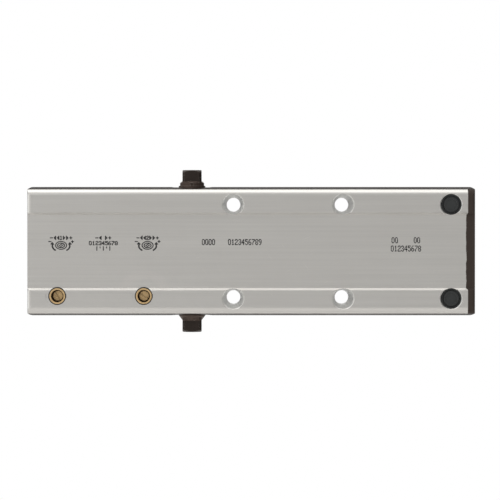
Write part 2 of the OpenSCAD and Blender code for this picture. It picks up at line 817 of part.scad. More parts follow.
closer_body();
left_end_plug();
right_end_plug();
left_end_o_ring();
right_end_o_ring();
upper_bearing_shell();
lower_bearing_shell();
upper_needle_rollers();
lower_needle_rollers();
upper_shaft_seal();
lower_shaft_seal();
upper_bearing_cap();
lower_bearing_cap();
upper_cap_o_ring();
lower_cap_o_ring();
spindle();
piston();
check_ball();
check_ball_retainer();
relief_ball();
relief_spring();
relief_screw();
closing_spring();
latching_valve_screw();
latching_valve_bushes();
latching_valve_o_rings();
closing_valve_screw();
closing_valve_bushes();
closing_valve_o_rings();
oil_way_sealing_balls();
upper_blanking_plug();
lower_blanking_plug();
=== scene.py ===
"""Studio scene of a surface-mounted door closer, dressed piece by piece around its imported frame.

The frame holds every size. It is in metres, with +X along the body towards the closing spring,
-Y out of the mounting face and +Z along the spindle, and its origin is the middle of the fixing
pattern.
"""

import json
import logging
import math
from dataclasses import dataclass, field
from enum import Enum
from typing import Any, ClassVar, Iterable, Sequence

import bmesh
import bpy
from mathutils import Matrix, Vector


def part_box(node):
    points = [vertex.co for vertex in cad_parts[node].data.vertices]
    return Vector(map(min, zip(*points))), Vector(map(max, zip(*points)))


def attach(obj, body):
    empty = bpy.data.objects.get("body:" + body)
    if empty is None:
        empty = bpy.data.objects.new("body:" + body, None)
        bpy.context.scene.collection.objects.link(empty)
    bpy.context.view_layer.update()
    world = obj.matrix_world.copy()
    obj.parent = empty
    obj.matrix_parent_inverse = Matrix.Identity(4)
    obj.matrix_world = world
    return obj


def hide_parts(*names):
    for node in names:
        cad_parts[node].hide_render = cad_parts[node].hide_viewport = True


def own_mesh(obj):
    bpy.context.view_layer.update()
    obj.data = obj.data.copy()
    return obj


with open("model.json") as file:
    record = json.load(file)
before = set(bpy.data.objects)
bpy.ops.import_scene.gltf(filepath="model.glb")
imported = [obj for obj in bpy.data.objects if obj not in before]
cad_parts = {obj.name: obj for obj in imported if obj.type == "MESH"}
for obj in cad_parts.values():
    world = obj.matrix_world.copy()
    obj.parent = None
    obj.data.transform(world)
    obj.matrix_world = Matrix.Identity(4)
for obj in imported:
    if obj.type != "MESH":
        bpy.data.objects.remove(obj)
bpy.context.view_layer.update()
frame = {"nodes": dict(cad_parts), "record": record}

log = logging.getLogger("door_closer")

MM = 0.001
Socket = bpy.types.NodeSocket
Value = Any  # a socket to link from, or a plain value to set
Point = tuple[float, float, float]
Spot = tuple[float, float]  # a place on the recess floor, along X and Z


class Side(Enum):
    """The half of the closer that a bearing or a blanking plug belongs to."""

    UPPER = "upper"
    LOWER = "lower"


class Sheen(Enum):
    """How a turned or moulded surface takes the light."""

    BRIGHT = 0.24
    SATIN = 0.38
    MATT = 0.58


# ---------------------------------------------------------------- node trees


class Tree:
    """Short-hand for building one node tree, in a material, a shader group or a modifier."""

    def __init__(self, tree: bpy.types.NodeTree) -> None:
        """Start with an existing tree.

        Args:
            tree: The tree that nodes are added to.
        """
        self.tree = tree

    def add(
        self, kind: str, inputs: dict[Any, Value] | None = None, **settings: Any
    ) -> bpy.types.Node:
        """Add a node, set its properties and fill or link its inputs.

        Args:
            kind: The node's type name.
            inputs: Input name or index to a socket to link or a value to set.
            settings: Properties of the node.

        Returns:
            The new node.
        """
        node = self.tree.nodes.new(kind)
        for name, value in settings.items():
            setattr(node, name, value)
        for key, value in (inputs or {}).items():
            self.feed(node.inputs[key], value)
        return node

    def feed(self, socket: Socket, value: Value) -> None:
        """Link a socket into an input, or set the input to a plain value."""
        if isinstance(value, Socket):
            self.tree.links.new(value, socket)
        else:
            socket.default_value = value

    def math(self, operation: str, *values: Value, clamp: bool = False) -> Socket:
        """Add a math node.

        Args:
            operation: The node's operation.
            values: One to three sockets or numbers.
            clamp: Whether the result is kept between 0 and 1.

        Returns:
            The result's socket.
        """
        kind = "ShaderNodeMath"
        node = self.add(kind, dict(enumerate(values)), operation=operation, use_clamp=clamp)
        return node.outputs[0]

    def plus(self, first: Value, second: Value) -> Socket:
        """Return the sum of two numbers."""
        return self.math("ADD", first, second)

    def minus(self, first: Value, second: Value) -> Socket:
        """Return the first number less the second."""
        return self.math("SUBTRACT", first, second)

    def times(self, first: Value, second: Value) -> Socket:
        """Return the product of two numbers."""
        return self.math("MULTIPLY", first, second)

    def times_plus(self, first: Value, second: Value, third: Value) -> Socket:
        """Return the product of two numbers and a third added to it."""
        return self.math("MULTIPLY_ADD", first, second, third)

    def most(self, first: Value, second: Value) -> Socket:
        """Return the greater of two numbers."""
        return self.math("MAXIMUM", first, second)

    def least(self, first: Value, second: Value) -> Socket:
        """Return the lesser of two numbers."""
        return self.math("MINIMUM", first, second)

    def absolute(self, value: Value) -> Socket:
        """Return a number without its sign."""
        return self.math("ABSOLUTE", value)

    def split(self, vector: Value) -> Sequence[Socket]:
        """Return a vector's three numbers."""
        return self.add("ShaderNodeSeparateXYZ", {0: vector}).outputs

    def join(self, **parts: Value) -> Socket:
        """Return the vector with the given x, y and z. A part that is left out is 0."""
        inputs = {name.upper(): part for name, part in parts.items()}
        return self.add("ShaderNodeCombineXYZ", inputs).outputs[0]

    def reach(self, first: Value, second: Value) -> Socket:
        """Return how far a point lies from the origin of a plane."""
        return self.vector("LENGTH", self.join(x=first, y=second))

    def normal(self) -> Socket:
        """Return the surface's normal."""
        return self.add("ShaderNodeNewGeometry").outputs["Normal"]

    def vector(self, operation: str, *values: Value) -> Socket:
        """Add a vector math node and return its vector, or a length's or dot product's number."""
        node = self.add("ShaderNodeVectorMath", dict(enumerate(values)), operation=operation)
        return node.outputs["Value" if operation in ("LENGTH", "DOT_PRODUCT") else "Vector"]

    def step(
        self, value: Value, low: Value, high: Value, to_low: Value = 0.0, to_high: Value = 1.0
    ) -> Socket:
        """Add a smooth step of a value between two limits.

        Args:
            value: The number that is tested.
            low: Where the step starts.
            high: Where the step ends.
            to_low: What it starts at.
            to_high: What it ends at.

        Returns:
            The step's socket.
        """
        inputs = {
            "Value": value, "From Min": low, "From Max": high, "To Min": to_low, "To Max": to_high
        }
        node = self.add("ShaderNodeMapRange", inputs, interpolation_type="SMOOTHSTEP")
        return node.outputs["Result"]

    def noise(
        self, vector: Value, scale: Value, detail: float = 2.0, roughness: float = 0.5
    ) -> Socket:
        """Add a noise texture and return its factor."""
        inputs = {"Vector": vector, "Scale": scale, "Detail": detail, "Roughness": roughness}
        return self.add("ShaderNodeTexNoise", inputs).outputs[0]

    def blend(self, factor: Value, first: Value, second: Value) -> Socket:
        """Mix two colours and return the result."""
        node = self.add("ShaderNodeMix", data_type="RGBA")
        for key, value in ((0, factor), (6, first), (7, second)):
            self.feed(node.inputs[key], value)
        return node.outputs[2]

    def group(self, tree: bpy.types.NodeTree, **inputs: Value) -> bpy.types.Node:
        """Place a shader group.

        Args:
            tree: The group's tree.
            inputs: Input names, with an underscore for each space, to sockets or values.

        Returns:
            The group node.
        """
        node = self.add("ShaderNodeGroup", node_tree=tree)
        for name, value in inputs.items():
            self.feed(node.inputs[name.replace("_", " ").title()], value)
        return node


class Effect:
    """A shader node group with named sockets, built once and shared by several finishes."""

    def __init__(self, name: str, floats: dict[str, float], outputs: Sequence[str]) -> None:
        """Open a group with a vector input, some number inputs and some number outputs.

        Args:
            name: The group's name.
            floats: Number inputs and their usual values.
            outputs: The names of the number outputs.
        """
        self.group = bpy.data.node_groups.new(name, "ShaderNodeTree")
        face = self.group.interface
        face.new_socket("Vector", in_out="INPUT", socket_type="NodeSocketVector")
        for label, usual in floats.items():
            socket = face.new_socket(label, in_out="INPUT", socket_type="NodeSocketFloat")
            socket.default_value = usual
        for label in outputs:
            face.new_socket(label, in_out="OUTPUT", socket_type="NodeSocketFloat")
        self.nodes = Tree(self.group)
        self.inputs = self.nodes.add("NodeGroupInput").outputs
        self.outputs = self.nodes.add("NodeGroupOutput").inputs

    def give(self, **results: Socket) -> bpy.types.NodeTree:
        """Link the results to the outputs of the same names and return the finished group."""
        for name, socket in results.items():
            self.nodes.feed(self.outputs[name.title()], socket)
        return self.group


def make_streaks() -> bpy.types.NodeTree:
    """Fine straight streaks along X, as a linishing belt or a drawing die leaves.

    Returns:
        A group with outputs Height and Band.
    """
    floats = {"Along": 40.0, "Across": 9000.0, "Breaks": 0.35}
    fx = Effect("straight_streaks", floats, ("Height", "Band"))
    t, i = fx.nodes, fx.inputs
    stretch = t.join(x=i["Along"], y=i["Across"], z=i["Across"])
    fine = t.noise(t.vector("MULTIPLY", i["Vector"], stretch), 1.0, 3.0, 0.6)
    coarse_stretch = t.vector("MULTIPLY", stretch, (0.35, 0.12, 0.12))
    band = t.noise(t.vector("MULTIPLY", i["Vector"], coarse_stretch), 1.0, 3.0, 0.55)
    patch = t.noise(i["Vector"], 90.0, 2.0)
    kept = t.minus(1.0, t.times(i["Breaks"], patch))
    return fx.give(height=t.times(fine, kept), band=band)


def make_wear() -> bpy.types.NodeTree:
    """Bright wear along convex and concave edges, broken up by noise.

    Returns:
        A group with output Mask.
    """
    fx = Effect("edge_wear", {"Radius": 0.0003, "Amount": 0.5, "Scale": 900.0}, ("Mask",))
    t, i = fx.nodes, fx.inputs
    rounded = t.add("ShaderNodeBevel", {"Radius": i["Radius"]}, samples=4).outputs[0]
    flat = t.normal()
    turn = t.minus(1.0, t.vector("DOT_PRODUCT", rounded, flat))
    grit = t.noise(i["Vector"], i["Scale"], 4.0, 0.6)
    edge = t.step(turn, 0.02, 0.25)
    return fx.give(mask=t.times(t.times(edge, t.step(grit, 0.35, 0.6)), i["Amount"]))


def make_mottle() -> bpy.types.NodeTree:
    """Slow, uneven tone over a surface, with a finer stain in it.

    Returns:
        A group with outputs Tone and Stain.
    """
    fx = Effect("mottle", {"Scale": 60.0, "Fine": 700.0}, ("Tone", "Stain"))
    t, i = fx.nodes, fx.inputs
    tone = t.noise(i["Vector"], i["Scale"], 3.0, 0.55)
    fine = t.noise(i["Vector"], i["Fine"], 4.0, 0.65)
    return fx.give(tone=tone, stain=t.times(t.step(fine, 0.5, 0.75), tone))


def make_peel() -> bpy.types.NodeTree:
    """The shallow cells of sprayed paint, or the grain of a blasted or moulded surface.

    Returns:
        A group with output Height.
    """
    fx = Effect("paint_peel", {"Scale": 1400.0, "Grain": 6000.0, "Grain Share": 0.2}, ("Height",))
    t, i = fx.nodes, fx.inputs
    cells = t.noise(i["Vector"], i["Scale"], 1.5, 0.4)
    grain = t.times(t.noise(i["Vector"], i["Grain"], 2.0), i["Grain Share"])
    return fx.give(height=t.plus(cells, grain))


def make_turning() -> bpy.types.NodeTree:
    """Rings round the vector's Z axis and grooves along it, as a lathe tool leaves.

    Returns:
        A group with output Height.
    """
    fx = Effect("turning_marks", {"Pitch": 0.0003, "Unevenness": 0.5}, ("Height",))
    t, i = fx.nodes, fx.inputs
    part = t.split(i["Vector"])
    run = t.plus(t.reach(part[0], part[1]), part[2])
    wobble = t.times(t.noise(i["Vector"], 500.0, 2.0), i["Unevenness"])
    turns = t.plus(t.math("DIVIDE", run, i["Pitch"]), wobble)
    wave = t.math("SINE", t.times(turns, math.tau))
    return fx.give(height=t.times_plus(wave, 0.5, 0.5))


def make_scratches() -> bpy.types.NodeTree:
    """Sparse hairline scratches in two slanting directions.

    Returns:
        A group with output Mask.
    """
    fx = Effect("hairlines", {"Density": 0.5, "Length": 130.0, "Width": 5200.0}, ("Mask",))
    t, i = fx.nodes, fx.inputs
    marks = []
    for angle in (0.42, -0.9):
        inputs = {"Vector": i["Vector"], "Axis": (0, 1, 0), "Angle": angle}
        turned = t.add("ShaderNodeVectorRotate", inputs).outputs[0]
        size = t.join(x=i["Length"], y=i["Length"], z=i["Width"])
        line = t.noise(t.vector("MULTIPLY", turned, size), 1.0, 0.0)
        where = t.noise(turned, 160.0, 1.0)
        level = t.minus(0.8, t.times(i["Density"], 0.1))
        marks.append(t.times(t.step(line, level, 0.84), t.step(where, 0.55, 0.62)))
    return fx.give(mask=t.most(*marks))


@dataclass(frozen=True)
class Effects:
    """The shader groups that the finishes share."""

    streaks: bpy.types.NodeTree = field(default_factory=make_streaks)
    wear: bpy.types.NodeTree = field(default_factory=make_wear)
    mottle: bpy.types.NodeTree = field(default_factory=make_mottle)
    peel: bpy.types.NodeTree = field(default_factory=make_peel)
    turning: bpy.types.NodeTree = field(default_factory=make_turning)
    scratches: bpy.types.NodeTree = field(default_factory=make_scratches)


# ------------------------------------------------------------------ finishes

Colour = tuple[float, float, float]


def opaque(colour: Colour) -> tuple[float, float, float, float]:
    """Return a colour with full alpha."""
    return (*colour, 1.0)


def scaled(colour: Colour, by: float) -> tuple[float, float, float, float]:
    """Return a colour made lighter or darker, with full alpha."""
    return opaque(tuple(min(1.0, part * by) for part in colour))


@dataclass(frozen=True)
class Finish:
    """A surface finish that builds one material."""

    name: str
    base: Colour

    def build(self, effects: Effects) -> bpy.types.Material:
        """Make the finish's material.

        Args:
            effects: The shared shader groups.

        Returns:
            The material.
        """
        material = bpy.data.materials.new(self.name)
        material.use_nodes = True
        tree = Tree(material.node_tree)
        shader = material.node_tree.nodes["Principled BSDF"]
        place = tree.add("ShaderNodeTexCoord").outputs["Object"]
        self.shade(tree, shader, place, effects)
        return material

    def shade(self, t: Tree, shader: bpy.types.Node, place: Socket, effects: Effects) -> None:
        """Feed the shader. Each finish says how."""
        raise NotImplementedError

    @staticmethod
    def bump(
        t: Tree, height: Socket, distance: float, strength: float = 1.0, under: Socket | None = None
    ) -> Socket:
        """Turn a height into a normal.

        Args:
            t: The material's tree.
            height: The height, from 0 to 1.
            distance: The depth of that height in metres.
            strength: The share of the effect that is kept.
            under: A normal that this one is laid over.

        Returns:
            The normal's socket.
        """
        inputs = {"Height": height, "Distance": distance, "Strength": strength}
        if under is not None:
            inputs["Normal"] = under
        return t.add("ShaderNodeBump", inputs).outputs[0]


@dataclass(frozen=True)
class MaskedCasting(Finish):
    """Bare linished alloy on the mounting face, and sprayed paint on every other outer side."""

    paint: Colour
    low: Point
    high: Point
    recess_half: float
    valves: tuple[Spot, Spot]
    front_radius: float = 6.0 * MM
    paint_line: float = 1.3 * MM
    strip_paint: float = 3.65 * MM
    recess_paint: float = 4.5 * MM
    paint_film: float = 0.07 * MM
    groove_radius: float = 4.5 * MM

    def painted(self, t: Tree, place: Socket) -> tuple[Socket, Socket]:
        """Return the masks of the painted flanks and of all the paint, with masking's wavy edge."""
        x, y, z = t.split(place)
        half = self.high[2]
        up = t.absolute(z)
        out_z = t.most(t.minus(up, half - self.front_radius), 0.0)
        out_y = t.most(t.minus(y, self.high[1] - self.front_radius), 0.0)
        corner = t.reach(out_z, out_y)
        wave = t.minus(t.noise(place, 260.0, 3.0), 0.5)
        skin = t.times_plus(wave, 0.12 * MM, t.minus(corner, self.front_radius))
        flank = t.step(skin, -self.paint_line - 0.03 * MM, -self.paint_line + 0.03 * MM)
        in_recess = t.step(up, self.recess_half + 0.9 * MM, self.recess_half)
        reach = t.times_plus(in_recess, self.recess_paint - self.strip_paint, self.strip_paint)
        rough_wave = t.times(t.times(wave, in_recess), 1.1 * MM)
        from_end = t.minus(t.minus(self.high[0], x), t.plus(reach, rough_wave))
        near_end = t.step(from_end, 0.04 * MM, -0.04 * MM)
        cover = t.step(y, 4.0 * MM, 4.2 * MM, 0.12 * MM, 1.0 * MM)
        far_end = t.step(t.minus(t.minus(x, self.low[0]), cover), 0.0, -0.06 * MM)
        return flank, t.most(flank, t.most(near_end, far_end))

    def bore_highlight(self, t: Tree, place: Socket) -> Socket:
        """Return the mask of the bare walls in the holes, which are painted lighter than the face:
        a painted highlight that lifts the shade down the holes.
        """
        _, y, z = t.split(place)
        _, slope, _ = t.split(t.normal())
        wall = t.step(t.absolute(slope), 0.85, 0.7)
        inside = t.step(t.absolute(z), self.high[2] - 3.7 * MM, self.high[2] - 4.1 * MM)
        deep = t.step(y, 0.05 * MM, 0.1 * MM)
        off_steps = t.step(t.absolute(z), self.recess_half + 1.2 * MM, self.recess_half + 1.3 * MM)
        below = t.step(y, 1.25 * MM, 1.3 * MM)
        clear = t.times(deep, t.most(off_steps, below))
        return t.times(t.times(wall, inside), clear)

    def groove_shade(self, t: Tree, place: Socket) -> Socket:
        """Return the mask of the grooves round the valves, which are painted near black as the
        shade in the gap round each bush.
        """
        x, y, z = t.split(place)
        grooves = []
        for across, up in self.valves:
            radius = t.reach(t.minus(x, across), t.minus(z, up))
            grooves.append(t.step(radius, self.groove_radius + 0.05 * MM, self.groove_radius))
        return t.times(t.most(*grooves), t.step(y, 0.12 * MM, 0.3 * MM))

    def tool_arcs(self, t: Tree, place: Socket) -> Socket:
        """Return faint arcs on the mounting face, which a tool left round one valve."""
        inner, outer = 8.0 * MM, 14.0 * MM
        x, y, z = t.split(place)
        off_z = t.minus(z, self.valves[1][1])
        radius = t.reach(t.minus(x, self.valves[1][0]), off_z)
        wave = t.math("SINE", t.times(radius, math.tau / (1.25 * MM)))
        past_inner = t.step(radius, inner, inner + 1.5 * MM)
        inside = t.times(past_inner, t.step(radius, outer, outer - 2 * MM))
        above = t.step(off_z, 0.0, 6.0 * MM)
        faced = t.times(above, t.step(y, 2.2 * MM, 1.8 * MM))
        return t.times(t.times_plus(wave, 0.5, 0.5), t.times(inside, faced))

    def shade(self, t: Tree, shader: bpy.types.Node, place: Socket, effects: Effects) -> None:
        """Feed the shader with bare alloy, paint and the line between them, with painted shade on
        the flanks and in the valve grooves and a painted highlight down the holes.
        """
        shader.inputs["Specular IOR Level"].default_value = 0.05
        flank, paint = self.painted(t, place)
        arcs = self.tool_arcs(t, place)
        streaks = t.group(
            effects.streaks, vector=place, along=28.0, across=7000.0, breaks=0.3
        ).outputs
        mottle = t.group(effects.mottle, vector=place, scale=34.0, fine=900.0).outputs
        lines = t.group(effects.scratches, vector=place, density=0.6).outputs[0]
        wear = t.group(
            effects.wear, vector=place, radius=0.00025, amount=0.55, scale=1400.0
        ).outputs[0]
        peel = t.group(
            effects.peel, vector=place, scale=1900.0, grain=9000.0, grain_share=0.15
        ).outputs[0]

        tone = t.blend(streaks["Band"], scaled(self.base, 0.9), scaled(self.base, 1.09))
        tone = t.blend(t.times(mottle["Tone"], 0.22), tone, scaled((0.97, 0.9, 0.86), 0.56))
        tone = t.blend(t.times(lines, 0.3), tone, scaled(self.base, 1.3))
        bore_highlight = self.bore_highlight(t, place)
        # Painted highlight: the walls down the holes are lightened towards near white, in place of
        # the light that the deep holes lose to shade.
        tone = t.blend(t.times(bore_highlight, 0.8), tone, opaque((0.9, 0.9, 0.88)))
        tone = t.blend(t.times(arcs, 0.16), tone, opaque((0.74, 0.66, 0.64)))
        # Painted shade: the grooves round the valves are darkened nearly to black, for the shadow
        # in the gap round each bush.
        tone = t.blend(t.times(self.groove_shade(t, place), 0.9), tone, opaque((0.02, 0.018, 0.016)))
        dust = t.times(mottle["Stain"], 0.35)
        coat = t.blend(dust, opaque(self.paint), scaled(self.paint, 1.5))
        # Painted shade: the paint on the top and bottom flanks is darkened, as the flanks get less
        # light than the face.
        coat = t.blend(t.times(flank, 0.6), coat, scaled(self.paint, 0.15))
        rubbed = t.times(wear, 0.08)
        coat = t.blend(rubbed, coat, scaled(self.base, 0.5))
        t.feed(shader.inputs["Base Color"], t.blend(paint, tone, coat))

        t.feed(shader.inputs["Metallic"], t.math("SUBTRACT", 1.0, paint, clamp=True))
        bare_rough = t.times_plus(streaks["Band"], 0.14, 0.27)
        bare_rough = t.times_plus(arcs, 0.06, bare_rough)
        paint_rough = t.times_plus(mottle["Tone"], 0.12, 0.34)
        rough = t.add("ShaderNodeMix", {0: paint, 2: bare_rough, 3: paint_rough}).outputs[0]
        t.feed(shader.inputs["Roughness"], rough)

        grain = self.bump(t, streaks["Height"], 0.0012 * MM, 0.5)
        cut = self.bump(t, t.minus(1.0, lines), 0.008 * MM, 0.5, grain)
        sprayed = self.bump(t, peel, 0.03 * MM, 0.55)
        normal = t.add("ShaderNodeMix", data_type="VECTOR")
        for key, value in ((0, paint), (4, cut), (5, sprayed)):
            t.feed(normal.inputs[key], value)
        edge = self.bump(t, paint, self.paint_film, 0.8, normal.outputs[1])
        t.feed(shader.inputs["Normal"], edge)


@dataclass(frozen=True)
class Painted(Finish):
    """Sprayed paint over metal, rubbed through a little at the edges."""

    under: Colour = (0.42, 0.41, 0.4)
    rough: float = 0.36

    def shade(self, t: Tree, shader: bpy.types.Node, place: Socket, effects: Effects) -> None:
        """Feed the shader with paint, its peel and its worn edges."""
        mottle = t.group(effects.mottle, vector=place, scale=55.0, fine=1100.0).outputs
        wear = t.group(
            effects.wear, vector=place, radius=0.0003, amount=0.6, scale=1500.0
        ).outputs[0]
        peel = t.group(
            effects.peel, vector=place, scale=1900.0, grain=9000.0, grain_share=0.15
        ).outputs[0]
        coat = t.blend(t.times(mottle["Stain"], 0.4), opaque(self.base), scaled(self.base, 1.9))
        shader.inputs["Specular IOR Level"].default_value = 0.05
        t.feed(shader.inputs["Base Color"], t.blend(wear, coat, opaque(self.under)))
        t.feed(shader.inputs["Metallic"], t.times(wear, 0.9))
        t.feed(shader.inputs["Roughness"], t.times_plus(mottle["Tone"], 0.14, self.rough))
        t.feed(shader.inputs["Normal"], self.bump(t, peel, 0.03 * MM, 0.6))


class Along(Enum):
    """The axis that a turned piece was turned about, as the order that puts it last."""

    X = (1, 2, 0)
    Y = (0, 2, 1)
    Z = (0, 1, 2)


@dataclass(frozen=True)
class Turned(Finish):
    """Turned or ground metal, with tool rings about its own axis, tarnish and bright edges."""

    sheen: Sheen
    centre: Point
    along: Along
    pitch: float = 0.28 * MM
    groove: float = 0.006 * MM
    tarnish: Colour = (0.2, 0.16, 0.12)
    tarnished: float = 0.35
    metallic: float = 1.0

    def shade(self, t: Tree, shader: bpy.types.Node, place: Socket, effects: Effects) -> None:
        """Feed the shader with rings, tarnish and bright edges."""
        part = t.split(t.vector("SUBTRACT", place, self.centre))
        turned = t.join(**{axis: part[k] for axis, k in zip("xyz", self.along.value)})
        rings = t.group(effects.turning, vector=turned, pitch=self.pitch, unevenness=0.6).outputs[0]
        mottle = t.group(effects.mottle, vector=place, scale=240.0, fine=1700.0).outputs
        wear = t.group(
            effects.wear, vector=place, radius=0.0002, amount=0.7, scale=1600.0
        ).outputs[0]
        tone = t.blend(mottle["Tone"], scaled(self.base, 0.86), scaled(self.base, 1.1))
        stain = t.math("MULTIPLY", mottle["Stain"], self.tarnished * 2.0, clamp=True)
        tone = t.blend(stain, tone, opaque(self.tarnish))
        t.feed(shader.inputs["Base Color"], t.blend(wear, tone, scaled(self.base, 1.35)))
        shader.inputs["Metallic"].default_value = self.metallic
        rough = t.times_plus(mottle["Tone"], 0.16, self.sheen.value - 0.08)
        t.feed(shader.inputs["Roughness"], t.times_plus(stain, 0.2, rough))
        t.feed(shader.inputs["Normal"], self.bump(t, rings, self.groove, 0.6))


@dataclass(frozen=True)
class SunkBrass(Turned):
    """Turned brass that is bright on its faces, with the walls down its hole darkened by oil and by
    painted shade.
    """

    depth: float = 42.0 * MM
    face: float = 0.6 * MM
    shade_start_radius: float = 2.3 * MM
    # Dark brown of oil, deepened to stand also for the shade down the hole: partly painted shade.
    oil: Colour = (0.035, 0.016, 0.008)

    def shade(self, t: Tree, shader: bpy.types.Node, place: Socket, effects: Effects) -> None:
        """Feed the shader as turned metal, then darken the walls below the faces with oil and
        painted shade.
        """
        super().shade(t, shader, place, effects)
        x, y, z = t.split(t.vector("SUBTRACT", place, self.centre))
        y = t.plus(y, self.centre[1])
        radius = t.reach(x, z)
        _, slope, _ = t.split(t.normal())
        upright = t.step(t.absolute(slope), 0.8, 0.5)
        wall = t.most(upright, t.step(radius, self.shade_start_radius, self.shade_start_radius + 0.15 * MM))
        in_from = t.least(y, t.minus(self.depth, y))
        sunk = t.times(wall, t.step(in_from, self.face, self.face + 0.8 * MM))
        # Painted shade with some oil: the walls below the faces darken towards near black,
        # unevenly.
        shaded_walls = t.times(sunk, t.step(t.noise(place, 900.0, 3.0), 0.75, 0.4, 0.75, 1.0))
        bright = shader.inputs["Base Color"].links[0].from_socket
        t.feed(shader.inputs["Base Color"], t.blend(shaded_walls, bright, opaque(self.oil)))


@dataclass(frozen=True)
class Phosphated(Finish):
    """Dark phosphated steel: crystalline, oil-coated and rubbed bright at its corners."""

    steel: Colour = (0.36, 0.33, 0.31)
    collar_top: float = 35.4 * MM

    def shade(self, t: Tree, shader: bpy.types.Node, place: Socket, effects: Effects) -> None:
        """Feed the shader with dark crystals and rubbed corners."""
        mottle = t.group(effects.mottle, vector=place, scale=190.0, fine=2600.0).outputs
        wear = t.group(
            effects.wear, vector=place, radius=0.0004, amount=0.75, scale=1300.0
        ).outputs[0]
        crystal = t.group(
            effects.peel, vector=place, scale=5200.0, grain=14000.0, grain_share=0.5
        ).outputs[0]
        tone = t.blend(mottle["Tone"], scaled(self.base, 0.75), scaled(self.base, 1.35))
        tone = t.blend(t.times(mottle["Stain"], 0.5), tone, scaled(self.base, 2.6))
        _, _, z = t.split(place)
        collar = t.step(t.absolute(z), self.collar_top, self.collar_top - 0.2 * MM)
        tone = t.blend(t.times(collar, 0.75), tone, scaled(self.base, 3.2))
        t.feed(shader.inputs["Base Color"], t.blend(wear, tone, opaque(self.steel)))
        t.feed(shader.inputs["Metallic"], t.times_plus(wear, 0.35, 0.6))
        t.feed(shader.inputs["Roughness"], t.times_plus(wear, -0.16, 0.46))
        t.feed(shader.inputs["Normal"], self.bump(t, crystal, 0.012 * MM, 0.6))


@dataclass(frozen=True)
class SpringWire(Finish):
    """Oil-tempered spring wire, blasted to a fine matt grain with drawing lines left in it."""

    def shade(self, t: Tree, shader: bpy.types.Node, place: Socket, effects: Effects) -> None:
        """Feed the shader with the blasted grain and oily patches."""
        mottle = t.group(effects.mottle, vector=place, scale=130.0, fine=1500.0).outputs
        grain = t.group(
            effects.peel, vector=place, scale=4200.0, grain=12000.0, grain_share=0.4
        ).outputs[0]
        tone = t.blend(mottle["Tone"], scaled(self.base, 0.7), scaled(self.base, 1.4))
        tone = t.blend(mottle["Stain"], tone, opaque((0.16, 0.1, 0.07)))
        t.feed(shader.inputs["Base Color"], tone)
        shader.inputs["Metallic"].default_value = 0.9
        t.feed(shader.inputs["Roughness"], t.times_plus(mottle["Tone"], -0.2, 0.5))
        t.feed(shader.inputs["Normal"], self.bump(t, grain, 0.015 * MM, 0.7))


@dataclass(frozen=True)
class Moulded(Finish):
    """Moulded rubber or plastic, with a fine eroded grain and a little dust."""

    sheen: Sheen
    dust: Colour = (0.2, 0.19, 0.18)
    dusty: float = 0.25

    def shade(self, t: Tree, shader: bpy.types.Node, place: Socket, effects: Effects) -> None:
        """Feed the shader with the mould's grain, dust and polished edges."""
        mottle = t.group(effects.mottle, vector=place, scale=210.0, fine=2200.0).outputs
        wear = t.group(
            effects.wear, vector=place, radius=0.0002, amount=0.35, scale=1700.0
        ).outputs[0]
        grain = t.group(
            effects.peel, vector=place, scale=3600.0, grain=11000.0, grain_share=0.35
        ).outputs[0]
        tone = t.blend(mottle["Tone"], scaled(self.base, 0.8), scaled(self.base, 1.25))
        tone = t.blend(t.times(mottle["Stain"], self.dusty), tone, opaque(self.dust))
        t.feed(shader.inputs["Base Color"], t.blend(wear, tone, scaled(self.base, 2.0)))
        shader.inputs["Specular IOR Level"].default_value = 0.45
        rough = t.times_plus(mottle["Tone"], 0.16, self.sheen.value - 0.08)
        t.feed(shader.inputs["Roughness"], rough)
        t.feed(shader.inputs["Normal"], self.bump(t, grain, 0.02 * MM, 0.6))


@dataclass(frozen=True)
class Ink(Finish):
    """Marking ink, thin enough for the metal's tone to show in places."""

    metal: Colour = (0.3, 0.29, 0.28)

    def shade(self, t: Tree, shader: bpy.types.Node, place: Socket, effects: Effects) -> None:
        """Feed the shader with ink that dries unevenly."""
        mottle = t.group(effects.mottle, vector=place, scale=900.0, fine=6000.0).outputs
        tone = t.blend(mottle["Stain"], opaque(self.base), opaque(self.metal))
        t.feed(shader.inputs["Base Color"], tone)
        t.feed(shader.inputs["Roughness"], t.times_plus(mottle["Tone"], 0.3, 0.3))


NITRILE = Moulded("nitrile_ring", (0.012, 0.012, 0.013), Sheen.SATIN)
WIRE = SpringWire("spring_wire", (0.1, 0.095, 0.1))


class Shop:
    """Builds each finish once and hands out its material."""

    def __init__(self) -> None:
        """Build the shared effects."""
        self.effects = Effects()
        self.made: dict[Finish, bpy.types.Material] = {}

    def material(self, finish: Finish) -> bpy.types.Material:
        """Return the material of a finish, building it the first time."""
        if finish not in self.made:
            self.made[finish] = finish.build(self.effects)
        return self.made[finish]

    def dress(self, node: str, finish: Finish) -> None:
        """Give a node of the frame its finish.

        Args:
            node: The node's name.
            finish: The finish that it takes.
        """
        for place in frame["nodes"][node].material_slots:
            place.material = self.material(finish)
        log.info("dressed %s in %s", node, finish.name)


# ------------------------------------------------------------ geometry nodes


